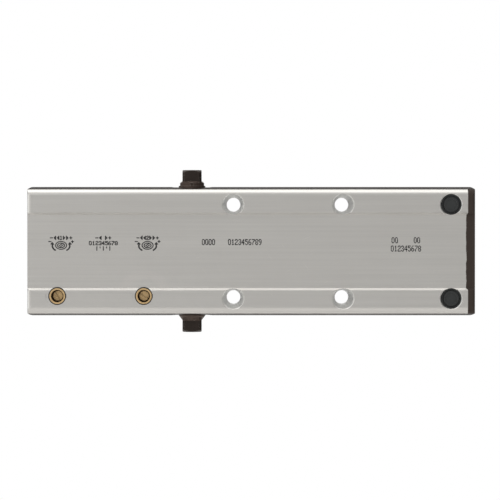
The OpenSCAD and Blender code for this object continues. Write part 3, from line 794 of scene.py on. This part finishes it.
class Recipe:
    """A geometry node tree with named inputs, whose result becomes a plain mesh."""

    def __init__(self, name: str, inputs: dict[str, float | int]) -> None:
        """Open the tree with a geometry input, number inputs and a material input.

        Args:
            name: The tree's name.
            inputs: The named inputs and their usual values.
        """
        self.group = bpy.data.node_groups.new(name, "GeometryNodeTree")
        face = self.group.interface
        face.new_socket("Geometry", in_out="INPUT", socket_type="NodeSocketGeometry")
        for label, usual in inputs.items():
            kind = "NodeSocketInt" if isinstance(usual, int) else "NodeSocketFloat"
            face.new_socket(label, in_out="INPUT", socket_type=kind).default_value = usual
        face.new_socket("Material", in_out="INPUT", socket_type="NodeSocketMaterial")
        face.new_socket("Geometry", in_out="OUTPUT", socket_type="NodeSocketGeometry")
        self.nodes = Tree(self.group)
        self.inputs = self.nodes.add("NodeGroupInput").outputs

    def close(self, geometry: Socket) -> None:
        """End the tree in Realize Instances and Set Material.

        Args:
            geometry: The finished geometry.
        """
        t = self.nodes
        real = t.add("GeometryNodeRealizeInstances", {"Geometry": geometry}).outputs[0]
        inputs = {"Geometry": real, "Material": self.inputs["Material"]}
        made = t.add("GeometryNodeSetMaterial", inputs).outputs[0]
        t.feed(t.add("NodeGroupOutput").inputs[0], made)

    def make(
        self,
        name: str,
        seed: bpy.types.Mesh,
        values: dict[str, float | int],
        material: bpy.types.Material,
    ) -> bpy.types.Object:
        """Run the tree once and keep its result as a plain mesh.

        Args:
            name: The piece's name.
            seed: The mesh that the tree starts from.
            values: Values for the named number inputs.
            material: The finish of the piece.

        Returns:
            The piece, at the origin.
        """
        maker = bpy.data.objects.new(name + "_maker", seed)
        bpy.context.scene.collection.objects.link(maker)
        modifier = maker.modifiers.new("recipe", "NODES")
        modifier.node_group = self.group
        face = self.group.interface.items_tree
        sockets = {socket.name: socket.identifier for socket in face if socket.in_out == "INPUT"}
        for label, value in (values | {"Material": material}).items():
            modifier[sockets[label]] = value
        ready = maker.evaluated_get(bpy.context.evaluated_depsgraph_get())
        mesh = bpy.data.meshes.new_from_object(ready)
        mesh.name = name
        bpy.data.objects.remove(maker)
        piece = bpy.data.objects.new(name, mesh)
        bpy.context.scene.collection.objects.link(piece)
        return piece


class WoundWire(Recipe):
    """A round wire wound along X, with its end turns closed or not: a spring or a thread."""

    def __init__(self) -> None:
        """Build the tree."""
        usual = {
            "Turns": 10.0, "Wire": 0.001, "Coil Radius": 0.01, "Length": 0.1, "Closed": 1.0,
            "Start": 0.0, "Steps": 240, "Sides": 16,
        }
        super().__init__("wound_wire", usual)
        t, i = self.nodes, self.inputs
        line = t.add("GeometryNodeCurvePrimitiveLine").outputs[0]
        line = t.add("GeometryNodeResampleCurve", {"Curve": line, "Count": i["Steps"]}).outputs[0]
        along = t.add("GeometryNodeSplineParameter").outputs["Factor"]
        turn = t.times(along, i["Turns"])
        closed, wire = i["Closed"], i["Wire"]
        first = t.times(t.least(turn, closed), wire)
        last = t.most(t.minus(turn, t.minus(i["Turns"], closed)), 0.0)
        open_turns = t.minus(i["Turns"], t.times(closed, 2.0))
        open_turn = t.least(t.most(t.minus(turn, closed), 0.0), open_turns)
        wired = t.times(wire, t.times_plus(closed, 2.0, 1.0))
        pitch = t.math("DIVIDE", t.minus(i["Length"], wired), open_turns)
        rise = t.plus(t.times_plus(open_turn, pitch, first), t.times(last, wire))
        x = t.plus(t.plus(i["Start"], rise), t.times(wire, 0.5))
        angle = t.times(turn, math.tau)
        y = t.times(t.math("SINE", angle), i["Coil Radius"])
        z = t.times(t.math("COSINE", angle), t.times(i["Coil Radius"], -1.0))
        spot = t.join(x=x, y=y, z=z)
        path = t.add("GeometryNodeSetPosition", {"Geometry": line, "Position": spot}).outputs[0]
        radius = t.times(wire, 0.5)
        ring = {"Resolution": i["Sides"], "Radius": radius}
        section = t.add("GeometryNodeCurvePrimitiveCircle", ring).outputs[0]
        swept = {"Curve": path, "Profile Curve": section, "Fill Caps": True}
        tube = t.add("GeometryNodeCurveToMesh", swept).outputs[0]
        self.close(t.add("GeometryNodeSetShadeSmooth", {"Geometry": tube}).outputs[0])


class RollerRing(Recipe):
    """Needle rollers standing in a ring about Z, each a copy of the seed mesh."""

    def __init__(self) -> None:
        """Build the tree."""
        super().__init__("roller_ring", {"Count": 19, "Ring Radius": 0.008})
        t, i = self.nodes, self.inputs
        circle = {"Vertices": i["Count"], "Radius": i["Ring Radius"]}
        spots = t.add("GeometryNodeMeshCircle", circle).outputs[0]
        inputs = {"Points": spots, "Instance": i["Geometry"]}
        self.close(t.add("GeometryNodeInstanceOnPoints", inputs).outputs[0])


class DotPrint(Recipe):
    """Printed dots of ink, one on each point of the seed mesh, uneven and slightly astray."""

    def __init__(self) -> None:
        """Build the tree."""
        usual = {"Dot": 0.0003, "Film": 0.00002, "Astray": 0.00004, "Seed": 3}
        super().__init__("dot_print", usual)
        t, i = self.nodes, self.inputs
        astray = t.join(x=i["Astray"], z=i["Astray"])
        back = t.vector("SCALE", astray)
        t.feed(back.node.inputs["Scale"], -1.0)
        limits = {0: back, 1: astray, "Seed": i["Seed"]}
        stray = t.add("FunctionNodeRandomValue", limits, data_type="FLOAT_VECTOR").outputs[0]
        spots = t.add(
            "GeometryNodeSetPosition", {"Geometry": i["Geometry"], "Offset": stray}
        ).outputs[0]
        size = t.times(i["Dot"], 0.5)
        round_dot = {"Vertices": 12, "Radius": size, "Depth": i["Film"]}
        disc = t.add("GeometryNodeMeshCylinder", round_dot).outputs[0]
        laid = {"Geometry": disc, "Rotation": (math.pi / 2, 0.0, 0.0)}
        flat = t.add("GeometryNodeTransform", laid).outputs[0]
        sizes = {2: 0.86, 3: 1.16, "Seed": i["Seed"]}
        uneven = t.add("FunctionNodeRandomValue", sizes, data_type="FLOAT")
        inputs = {"Points": spots, "Instance": flat, "Scale": uneven.outputs[1]}
        self.close(t.add("GeometryNodeInstanceOnPoints", inputs).outputs[0])


@dataclass(frozen=True)
class Recipes:
    """The geometry node trees that the sub-assemblies share."""

    wire: WoundWire = field(default_factory=WoundWire)
    rollers: RollerRing = field(default_factory=RollerRing)
    print: DotPrint = field(default_factory=DotPrint)


# ------------------------------------------------------------- mesh and frame


def mesh_from(name: str, shape: bmesh.types.BMesh) -> bpy.types.Mesh:
    """Turn a finished shape into a mesh whose faces point outwards.

    Args:
        name: The mesh's name.
        shape: The shape, which is freed.

    Returns:
        The mesh.
    """
    bmesh.ops.remove_doubles(shape, verts=shape.verts, dist=1e-7)
    bmesh.ops.recalc_face_normals(shape, faces=shape.faces)
    mesh = bpy.data.meshes.new(name)
    shape.to_mesh(mesh)
    shape.free()
    return mesh


def lathe(name: str, outline: Iterable[tuple[float, float]], sides: int) -> bpy.types.Mesh:
    """Turn an outline of radius and height about Z.

    Args:
        name: The mesh's name.
        outline: Points of radius and height, from one pole to the other.
        sides: How many faces go round.

    Returns:
        The closed mesh.
    """
    shape = bmesh.new()
    points = [shape.verts.new((radius, 0.0, height)) for radius, height in outline]
    edges = [shape.edges.new(pair) for pair in zip(points, points[1:])]
    spun = {"cent": (0, 0, 0), "axis": (0, 0, 1), "angle": math.tau, "steps": sides}
    bmesh.ops.spin(shape, geom=points + edges, **spun)
    return mesh_from(name, shape)


def cut_flat(mesh: bpy.types.Mesh, place: Point, outwards: Point) -> None:
    """Cut a closed mesh off at a plane and close the cut, as grinding does.

    Args:
        mesh: The mesh that is cut.
        place: A point of the plane.
        outwards: The plane's normal, towards what is taken away.
    """
    shape = bmesh.new()
    shape.from_mesh(mesh)
    everything = shape.verts[:] + shape.edges[:] + shape.faces[:]
    cut = bmesh.ops.bisect_plane(
        shape, geom=everything, dist=1e-7, plane_co=place, plane_no=outwards, clear_outer=True
    )["geom_cut"]
    rim = [edge for edge in cut if isinstance(edge, bmesh.types.BMEdge)]
    bmesh.ops.holes_fill(shape, edges=rim, sides=0)
    shape.to_mesh(mesh)
    shape.free()


def keep_edges(piece: bpy.types.Object, degrees: float = 32.0) -> None:
    """Shade a piece smooth, except across edges that are sharper than an angle."""
    piece.data.shade_smooth()
    piece.data.set_sharp_from_angle(angle=math.radians(degrees))


def middle(node: str) -> Vector:
    """Return the middle of a node's box at rest."""
    low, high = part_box(node)
    return (low + high) / 2


def span(node: str) -> Vector:
    """Return the size of a node's box at rest."""
    low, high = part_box(node)
    return high - low


def fit(piece: bpy.types.Object, body: str, slot: str, *nodes: str) -> None:
    """Fix a made piece to its body, in place of some nodes.

    Args:
        piece: The piece.
        body: The body that it moves with.
        slot: A material slot of the record; not used.
        nodes: The nodes that it stands for.
    """
    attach(piece, body)
    if nodes:
        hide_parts(*nodes)
    log.info("built %s with %d faces, on %s", piece.name, len(piece.data.polygons), body)


# ------------------------------------------------------------- sub-assemblies


@dataclass
class SubAssembly:
    """Pieces that are put together as one unit on the bench."""

    shop: Shop
    recipes: Recipes

    def build(self) -> None:
        """Make the pieces that the frame's nodes don't show finely enough. Many units need none."""

    def dress(self) -> None:
        """Give every node of the unit its finish."""
        raise NotImplementedError


@dataclass
class Casing(SubAssembly):
    """The cast body with its end plugs, their seals, the blanking plugs and the oil ways' balls."""

    alloy: Colour = (0.64, 0.63, 0.61)
    brown: Colour = (0.05, 0.039, 0.034)
    step_w: float = 1.1 * MM
    strip_to_crest: float = 13.0 * MM

    def dress(self) -> None:
        """Dress the body, the plugs, the O-rings and the sealing balls."""
        low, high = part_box("closer_body")
        screws = [middle(f"{name}_valve_screw") for name in ("latching", "closing")]
        valves = tuple((screw[0], screw[2]) for screw in screws)
        casting = MaskedCasting(
            "masked_alloy_casting", self.alloy, self.brown, tuple(low), tuple(high),
            high[2] - self.strip_to_crest - self.step_w, valves,
        )
        self.shop.dress("closer_body", casting)
        for end in ("left", "right"):
            self.shop.dress(f"{end}_end_plug", Painted("painted_end_plug", self.brown))
            self.shop.dress(f"{end}_end_o_ring", NITRILE)
        for side in Side:
            cover = Moulded("moulded_blanking_plug", (0.021, 0.0235, 0.0245), Sheen.SATIN)
            self.shop.dress(f"{side.value}_blanking_plug", cover)
        grey = (0.56, 0.56, 0.57)
        ball = Turned("sealing_ball_steel", grey, Sheen.BRIGHT, (0, 0, 0), Along.X, tarnished=0.1)
        self.shop.dress("oil_way_sealing_balls", ball)


@dataclass
class Thread(SubAssembly):
    """The cut thread inside a tapped hole, as one winding of its crest."""

    side: Side = Side.UPPER
    core: float = 2.1 * MM
    pitch: float = 0.8 * MM
    mouth: float = 0.7 * MM
    length: float = 12.0 * MM

    def build(self) -> None:
        """Wind the crest about the spindle's axis, just under the countersink."""
        up = 1.0 if self.side is Side.UPPER else -1.0
        _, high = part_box("spindle")
        values = {
            "Turns": self.length / self.pitch, "Wire": self.pitch, "Length": self.length,
            "Coil Radius": self.core + self.pitch / 2, "Closed": 0.0, "Steps": 560, "Sides": 4,
        }
        steel = self.shop.material(SpindleUnit.steel())
        name, seed = f"{self.side.value}_arm_thread", bpy.data.meshes.new("seed")
        crest = self.recipes.wire.make(name, seed, values, steel)
        axis = middle("spindle")
        start = Matrix.Translation((axis[0], axis[1], up * (high[2] - self.mouth)))
        crest.data.transform(start @ Matrix.Rotation(up * math.pi / 2, 4, "Y"))
        keep_edges(crest)
        fit(crest, "spindle", "spindle_steel")

    def dress(self) -> None:
        """The crest takes its finish as it is made."""


@dataclass
class SpindleUnit(SubAssembly):
    """The pinion spindle, which sticks out of both flanks as a drive square."""

    @staticmethod
    def steel() -> Finish:
        """Return the spindle's finish."""
        return Phosphated("phosphated_spindle_steel", (0.03, 0.021, 0.017))

    def dress(self) -> None:
        """Dress the spindle."""
        self.shop.dress("spindle", self.steel())


@dataclass
class Bearing(SubAssembly):
    """One end's needle bearing, shaft seal and threaded cap."""

    side: Side = Side.UPPER
    roller_d: float = 2.4 * MM
    roller_count: int = 19
    crown: float = 0.12 * MM
    brown: Colour = (0.030, 0.0215, 0.0185)

    def build(self) -> None:
        """Stand crowned rollers in a ring, in place of the frame's plain ones."""
        name = f"{self.side.value}_needle_rollers"
        centre, size = middle(name), span(name)
        radius, half = self.roller_d / 2, size[2] / 2
        outline = [
            (0.0, -half), (radius * 0.55, -half), (radius * 0.83, -half + self.crown),
            (radius, -half + 4 * self.crown), (radius, half - 4 * self.crown),
            (radius * 0.83, half - self.crown), (radius * 0.55, half), (0.0, half),
        ]
        values = {"Count": self.roller_count, "Ring Radius": (size[0] - self.roller_d) / 2}
        ring = self.recipes.rollers.make(
            f"{self.side.value}_crowned_rollers", lathe("roller", outline, 24), values,
            self.shop.material(self.ground()),
        )
        ring.data.transform(Matrix.Translation(centre))
        keep_edges(ring)
        fit(ring, f"{self.side.value}_roller_set", "bearing_steel", name)

    def ground(self) -> Finish:
        """Return the finish of ground bearing steel."""
        axis = middle("spindle")
        place = (axis[0], axis[1], 0.0)
        grey = (0.6, 0.6, 0.61)
        return Turned(
            "ground_bearing_steel", grey, Sheen.BRIGHT, place, Along.Z, 0.12 * MM, tarnished=0.12
        )

    def dress(self) -> None:
        """Dress the shell, the seal, the cap and its O-ring."""
        self.shop.dress(f"{self.side.value}_bearing_shell", self.ground())
        self.shop.dress(f"{self.side.value}_needle_rollers", self.ground())
        rubber = Moulded("shaft_seal_rubber", (0.014, 0.014, 0.015), Sheen.MATT)
        self.shop.dress(f"{self.side.value}_shaft_seal", rubber)
        self.shop.dress(f"{self.side.value}_cap_o_ring", rubber)
        cap = Painted("painted_bearing_cap", self.brown, rough=0.42)
        self.shop.dress(f"{self.side.value}_bearing_cap", cap)


@dataclass
class PistonUnit(SubAssembly):
    """The rack piston with its check valve and its relief valve."""

    relief_wire: float = 0.7 * MM
    relief_turns: float = 6.0
    relief_grind: float = 0.2 * MM

    def build(self) -> None:
        """Wind the relief spring, with its ends ground flat."""
        wire, turns, grind = self.relief_wire, self.relief_turns, self.relief_grind
        spring = wind_spring(self, "relief_spring", wire, turns, grind)
        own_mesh(spring)

    def dress(self) -> None:
        """Dress the piston, the balls and the threaded pieces."""
        axis = middle("spindle")
        place = (0.0, axis[1], axis[2])
        dark = (0.3, 0.29, 0.28)
        iron = Turned("turned_piston_iron", dark, Sheen.SATIN, place, Along.X, 0.22 * MM)
        self.shop.dress("piston", iron)
        grey = (0.6, 0.6, 0.61)
        bright = Turned("ground_ball_steel", grey, Sheen.BRIGHT, place, Along.X, tarnished=0.05)
        for ball in ("check_ball", "relief_ball"):
            self.shop.dress(ball, bright)
        dull = (0.4, 0.39, 0.37)
        small = Turned("turned_screw_steel", dull, Sheen.SATIN, place, Along.X, 0.18 * MM)
        for piece in ("check_ball_retainer", "relief_screw"):
            self.shop.dress(piece, small)
        self.shop.dress("relief_spring", WIRE)


@dataclass
class ClosingSpring(SubAssembly):
    """The coil spring between the piston and the spring end plug."""

    wire: float = 5.0 * MM
    turns: float = 15.5
    grind: float = 1.2 * MM

    def build(self) -> None:
        """Wind the spring, with ends ground flat."""
        spring = wind_spring(self, "closing_spring", self.wire, self.turns, self.grind)
        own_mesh(spring)

    def dress(self) -> None:
        """Dress the frame's own spring, which the wound one stands for."""
        self.shop.dress("closing_spring", WIRE)


def wind_spring(
    unit: SubAssembly, node: str, wire: float, turns: float, grind: float
) -> bpy.types.Object:
    """Wind a compression spring in a node's box and grind its ends flat.

    Args:
        unit: The sub-assembly that the spring belongs to.
        node: The node that it stands for.
        wire: The wire's diameter.
        turns: The number of turns, the two closed ones included.
        grind: The depth that is ground off each end.

    Returns:
        The spring, fixed to the node's own body.
    """
    low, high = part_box(node)
    centre = (low + high) / 2
    outer = (high[2] - low[2]) / 2
    values = {
        "Turns": turns, "Wire": wire, "Coil Radius": outer - wire / 2, "Closed": 1.0,
        "Length": high[0] - low[0] + 2 * grind, "Start": low[0] - grind,
        "Steps": round(turns * 40), "Sides": 20,
    }
    material = unit.shop.material(WIRE)
    spring = unit.recipes.wire.make(f"wound_{node}", bpy.data.meshes.new("seed"), values, material)
    spring.data.transform(Matrix.Translation((0.0, centre[1], centre[2])))
    cut_flat(spring.data, (low[0], 0, 0), (-1, 0, 0))
    cut_flat(spring.data, (high[0], 0, 0), (1, 0, 0))
    keep_edges(spring, 40.0)
    bodies = frame["record"]["behaviour"]["bodies"]
    body = next(name for name, nodes in bodies.items() if node in nodes)
    fit(spring, body, "spring_steel", node)
    return spring


@dataclass
class SpeedValve(SubAssembly):
    """One speed valve: a slotted brass screw between two brass bushes, sealed by O-rings."""

    role: str = "latching"
    brass: Colour = (0.72, 0.51, 0.27)

    def dress(self) -> None:
        """Dress the screw, its bushes and its O-rings."""
        centre = middle(f"{self.role}_valve_screw")
        metal = SunkBrass(
            f"turned_brass_{self.role}", self.brass, Sheen.SATIN, tuple(centre), Along.Y,
            pitch=0.16 * MM, groove=0.008 * MM, tarnish=(0.13, 0.075, 0.03), tarnished=0.5,
        )
        self.shop.dress(f"{self.role}_valve_screw", metal)
        self.shop.dress(f"{self.role}_valve_bushes", metal)
        self.shop.dress(f"{self.role}_valve_o_rings", NITRILE)


@dataclass
class Marking(SubAssembly):
    """Dots of ink on the recess floor: each valve's numeral and screw sign, a scale and fields.

    Places are offsets from the middle of the body, along X and Z.
    """

    dot: float = 0.52 * MM
    film: float = 0.02 * MM
    column: float = 0.27 * MM
    label_row: float = 0.28 * MM
    field_row: float = 0.42 * MM
    field_pitch: float = 1.7 * MM
    label_pitch: float = 1.62 * MM
    label_height: float = 6.8 * MM
    label_shift: float = 1.9 * MM
    sign_height: float = 3.05 * MM
    note_shift: float = 1.4 * MM
    black: Colour = (0.006, 0.006, 0.008)

    #: Rows of the note between the valves, and each one's height in millimetres.
    NOTE: ClassVar = (("-< >+", 6.8), ("012345678", 4.15), ("|'|'|", 1.5))

    #: Fields to the right of the valves, and each one's place in millimetres.
    FIELDS: ClassVar = (
        ("0000", -21.4, 4.7), ("0123456789", -3.2, 4.7), ("00", 71.8, 5.6), ("00", 82.9, 5.6),
        ("012345678", 77.4, 1.45),
    )

    GLYPHS: ClassVar = {
        "0": "01110 10001 10001 10001 10001 10001 01110",
        "1": "00100 01100 00100 00100 00100 00100 01110",
        "2": "01110 10001 00001 00110 01000 10000 11111",
        "3": "01110 10001 00001 00110 00001 10001 01110",
        "4": "00010 00110 01010 10010 11111 00010 00010",
        "5": "11111 10000 11110 00001 00001 10001 01110",
        "6": "00110 01000 10000 11110 10001 10001 01110",
        "7": "11111 00001 00010 00100 01000 01000 01000",
        "8": "01110 10001 10001 01110 10001 10001 01110",
        "9": "01110 10001 10001 01111 00001 00010 01100",
        "+": "00000 00100 00100 11111 00100 00100 00000",
        "-": "00000 00000 00000 11111 00000 00000 00000",
        "|": "00100 00100 00100 00100 00100 00100 00100",
        "'": "00100 00100 00100 00000 00000 00000 00000",
        "<": "00001 00011 00111 01111 00111 00011 00001",
        ">": "10000 11000 11100 11110 11100 11000 10000",
        " ": "00000 00000 00000 00000 00000 00000 00000",
    }

    def line(self, signs: str, x: float, z: float, row: float, advance: float) -> list[Spot]:
        """Set out a line of signs.

        Args:
            signs: The signs, which are keys of GLYPHS.
            x: The middle of the line along X.
            z: The middle of the line along Z.
            row: The pitch of the dots along Z.
            advance: The pitch of the signs.

        Returns:
            The places of the dots.
        """
        dots = []
        for place, sign in enumerate(signs):
            start = x + (place - (len(signs) - 1) / 2) * advance
            for level, cells in enumerate(self.GLYPHS[sign].split()):
                for step, cell in enumerate(cells):
                    if cell == "1":
                        dots.append((start + (step - 2) * self.column, z + (3 - level) * row))
        return dots

    def arc(
        self, x: float, z: float, wide: float, high: float, start: float, end: float
    ) -> list[Spot]:
        """Set out dots along an arc of an ellipse.

        Args:
            x: The ellipse's middle along X.
            z: The ellipse's middle along Z.
            wide: Half its width.
            high: Half its height.
            start: Where the arc starts, in degrees.
            end: Where it ends.

        Returns:
            The places of the dots.
        """
        length = math.radians(abs(end - start)) * (wide + high) / 2
        count = max(2, round(length / (0.8 * self.column)))
        turns = [math.radians(start + (end - start) * k / count) for k in range(count + 1)]
        return [(x + wide * math.cos(turn), z + high * math.sin(turn)) for turn in turns]

    def screw_sign(self, x: float, z: float) -> list[Spot]:
        """Set out a slotted screw head in a ring, two turning arrows and the signs - and +."""
        dots = self.arc(x, z, 2.75 * MM, 1.95 * MM, 0, 360)
        dots += self.arc(x, z, 1.75 * MM, 1.15 * MM, 0, 360)
        slot = [(k - 3) * 0.8 * self.column for k in range(7)]
        for offset in (-0.28 * MM, 0.28 * MM):
            dots += [(x + s + offset, z + 0.7 * s - offset) for s in slot]
        for hand in (-1, 1):
            for inset in (0.0, 0.25 * MM):
                curve = self.arc(0.0, z - 0.3 * MM, 4.5 * MM - inset, 2.9 * MM - inset, -50, 12)
                dots += [(x + hand * across, up) for across, up in curve]
            tip_x, tip_z = x + hand * 4.4 * MM, z + 1.35 * MM
            for level in range(4):
                wide = level * 0.22 * MM
                high = tip_z - level * 0.24 * MM
                dots += [(tip_x + share * wide, high) for share in (-1, -0.35, 0.35, 1)]
        less, more, high = x - 5.6 * MM, x + 5.7 * MM, z + 1.9 * MM
        for centre in (less, more):
            dots += [(centre + k * self.column, high) for k in range(-2, 3)]
        return dots + [(more, high + k * self.column) for k in (-2, -1, 1, 2)]

    def dots(self) -> list[Spot]:
        """Set out every mark.

        Returns:
            The places of all the dots, along X and Z.
        """
        latching, closing = middle("latching_valve_screw")[0], middle("closing_valve_screw")[0]
        row, pitch = self.label_row, self.label_pitch
        marks = []
        for number, valve in (("1", latching), ("2", closing)):
            x = valve + self.label_shift
            marks += self.line(f"-<<{number}>>+", x, self.label_height, row, pitch)
            marks += self.screw_sign(x, self.sign_height)
        between = (latching + closing) / 2 + self.note_shift
        for signs, z in self.NOTE:
            marks += self.line(signs, between, z * MM, row, pitch)
        body = middle("closer_body")[0]
        for signs, x, z in self.FIELDS:
            marks += self.line(signs, body + x * MM, z * MM, self.field_row, self.field_pitch)
        return marks

    def build(self) -> None:
        """Print the dots on the recess floor."""
        body = frame["nodes"]["closer_body"]
        start = Vector((middle("closer_body")[0], -0.01, 0.0))
        found, floor, _, _ = body.ray_cast(start, Vector((0, 1, 0)))
        if not found:
            raise RuntimeError("the body has no recess floor to print on")
        seed = bpy.data.meshes.new("dots")
        seed.from_pydata([(x, floor[1] - self.film / 2, z) for x, z in self.dots()], [], [])
        values = {"Dot": self.dot, "Film": self.film, "Astray": 0.03 * MM, "Seed": 3}
        material = self.shop.material(Ink("marking_ink", self.black))
        ink = self.recipes.print.make("valve_markings", seed, values, material)
        fit(ink, "housing", "seal_rubber")

    def dress(self) -> None:
        """The ink takes its finish as it is printed."""


# -------------------------------------------------------------------- studio


@dataclass(frozen=True)
class Studio:
    """A pale floor, soft lights and a camera that looks square at the mounting face."""

    distance: float = 1.3
    eye: float = 0.017
    lens: float = 187.3
    floor_drop: float = 0.42
    floor_size: float = 3.2
    room: float = 0.62
    roof: float = 0.68
    zenith: float = 1.9
    from_left: float = 0.6
    behind: float = 0.08
    far_wall: float = 1.6
    lamp_size: tuple[float, float] = (0.5, 0.5)
    key_place: Point = (-0.8, -0.9, 0.75)
    key_power: float = 2.6
    fill_place: Point = (0.6, -0.5, 0.9)
    fill_power: float = 0.6

    def build(self) -> None:
        """Set up the floor, the world, the lights and the camera."""
        self.lay_floor()
        self.fill_room()
        target = Vector((middle("closer_body")[0] - 0.6 * MM, 0.0, 0.75 * MM))
        self.light("key", Vector(self.key_place), target, self.lamp_size, self.key_power)
        self.light("fill", Vector(self.fill_place), target, self.lamp_size, self.fill_power)
        self.aim_camera(target)

    def lay_floor(self) -> None:
        """Lay the floor well below the closer, which hangs as it would on a wall."""
        bpy.ops.mesh.primitive_plane_add(size=self.floor_size, location=(0, 0, -self.floor_drop))
        floor = bpy.context.object
        floor.name = "studio_floor"
        paper = bpy.data.materials.new("floor_paper")
        paper.use_nodes = True
        shader = paper.node_tree.nodes["Principled BSDF"]
        shader.inputs["Base Color"].default_value = (0.86, 0.85, 0.84, 1.0)
        shader.inputs["Roughness"].default_value = 0.75
        floor.data.materials.append(paper)

    def fill_room(self) -> None:
        """Fill the room with the even light of a tent, behind a plain white background.

        The tent is brightest overhead and a little brighter on the left. It is open behind the
        closer, with a bright wall in the distance that lights the through holes.
        """
        world = bpy.data.worlds.new("studio_room")
        world.use_nodes = True
        bpy.context.scene.world = world
        world.node_tree.nodes.clear()
        t = Tree(world.node_tree)
        x, y, z = t.split(t.add("ShaderNodeTexCoord").outputs["Generated"])
        height = t.step(z, 0.12, 0.62, self.room, self.roof)
        height = t.plus(height, t.step(z, 0.8, 0.95, 0.0, self.zenith - self.roof))
        sideways = t.times_plus(x, -self.from_left, 1.0)
        opening = t.times(t.step(y, 0.45, 0.75), t.step(t.absolute(z), 0.42, 0.2))
        walls = t.times(height, sideways)
        tent = t.times(walls, t.step(opening, 0.0, 1.0, 1.0, self.behind))
        tent = t.plus(tent, t.step(y, 0.97, 0.99, 0.0, self.far_wall))
        seen = t.add("ShaderNodeBackground", {"Color": (1, 1, 1, 1), "Strength": 1.0}).outputs[0]
        cast = t.add(
            "ShaderNodeBackground", {"Color": (1, 0.995, 0.975, 1), "Strength": tent}
        ).outputs[0]
        ray = t.add("ShaderNodeLightPath").outputs["Is Camera Ray"]
        mixed = t.add("ShaderNodeMixShader", {0: ray, 1: cast, 2: seen}).outputs[0]
        t.add("ShaderNodeOutputWorld", {"Surface": mixed})

    @staticmethod
    def light(
        name: str, place: Vector, target: Vector, size: tuple[float, float], power: float
    ) -> None:
        """Hang one soft light.

        Args:
            name: The light's name.
            place: Where it hangs.
            target: Where it points.
            size: Its width and height.
            power: Its power in watts.
        """
        lamp = bpy.data.lights.new(name, "AREA")
        lamp.shape, lamp.size, lamp.size_y, lamp.energy = "RECTANGLE", size[0], size[1], power
        holder = bpy.data.objects.new(name, lamp)
        holder.location = place
        holder.rotation_mode = "QUATERNION"
        holder.rotation_quaternion = (target - place).to_track_quat("-Z", "Y")
        holder.visible_camera = False
        bpy.context.scene.collection.objects.link(holder)

    def aim_camera(self, target: Vector) -> None:
        """Place the camera in front of the mounting face, a little above it."""
        camera = bpy.data.objects.new("camera", bpy.data.cameras.new("camera"))
        camera.data.lens = self.lens
        camera.location = (target[0], -self.distance, self.eye)
        camera.rotation_mode = "QUATERNION"
        camera.rotation_quaternion = (target - camera.location).to_track_quat("-Z", "Y")
        bpy.context.scene.collection.objects.link(camera)
        bpy.context.scene.camera = camera
        bpy.context.scene.view_settings.view_transform = "Standard"


def main() -> None:
    """Build every sub-assembly and dress it, then set up the studio."""
    shop, recipes = Shop(), Recipes()
    kinds = (Casing, SpindleUnit, PistonUnit, ClosingSpring)
    units: list[SubAssembly] = [kind(shop, recipes) for kind in kinds]
    for side in Side:
        units += [Bearing(shop, recipes, side), Thread(shop, recipes, side)]
    units += [SpeedValve(shop, recipes, role) for role in ("latching", "closing")]
    units.append(Marking(shop, recipes))
    for unit in units:
        unit.build()
        unit.dress()
    Studio().build()


if __name__ == "__main__":
    logging.basicConfig(level=logging.INFO, format="%(name)s: %(message)s")
    main()
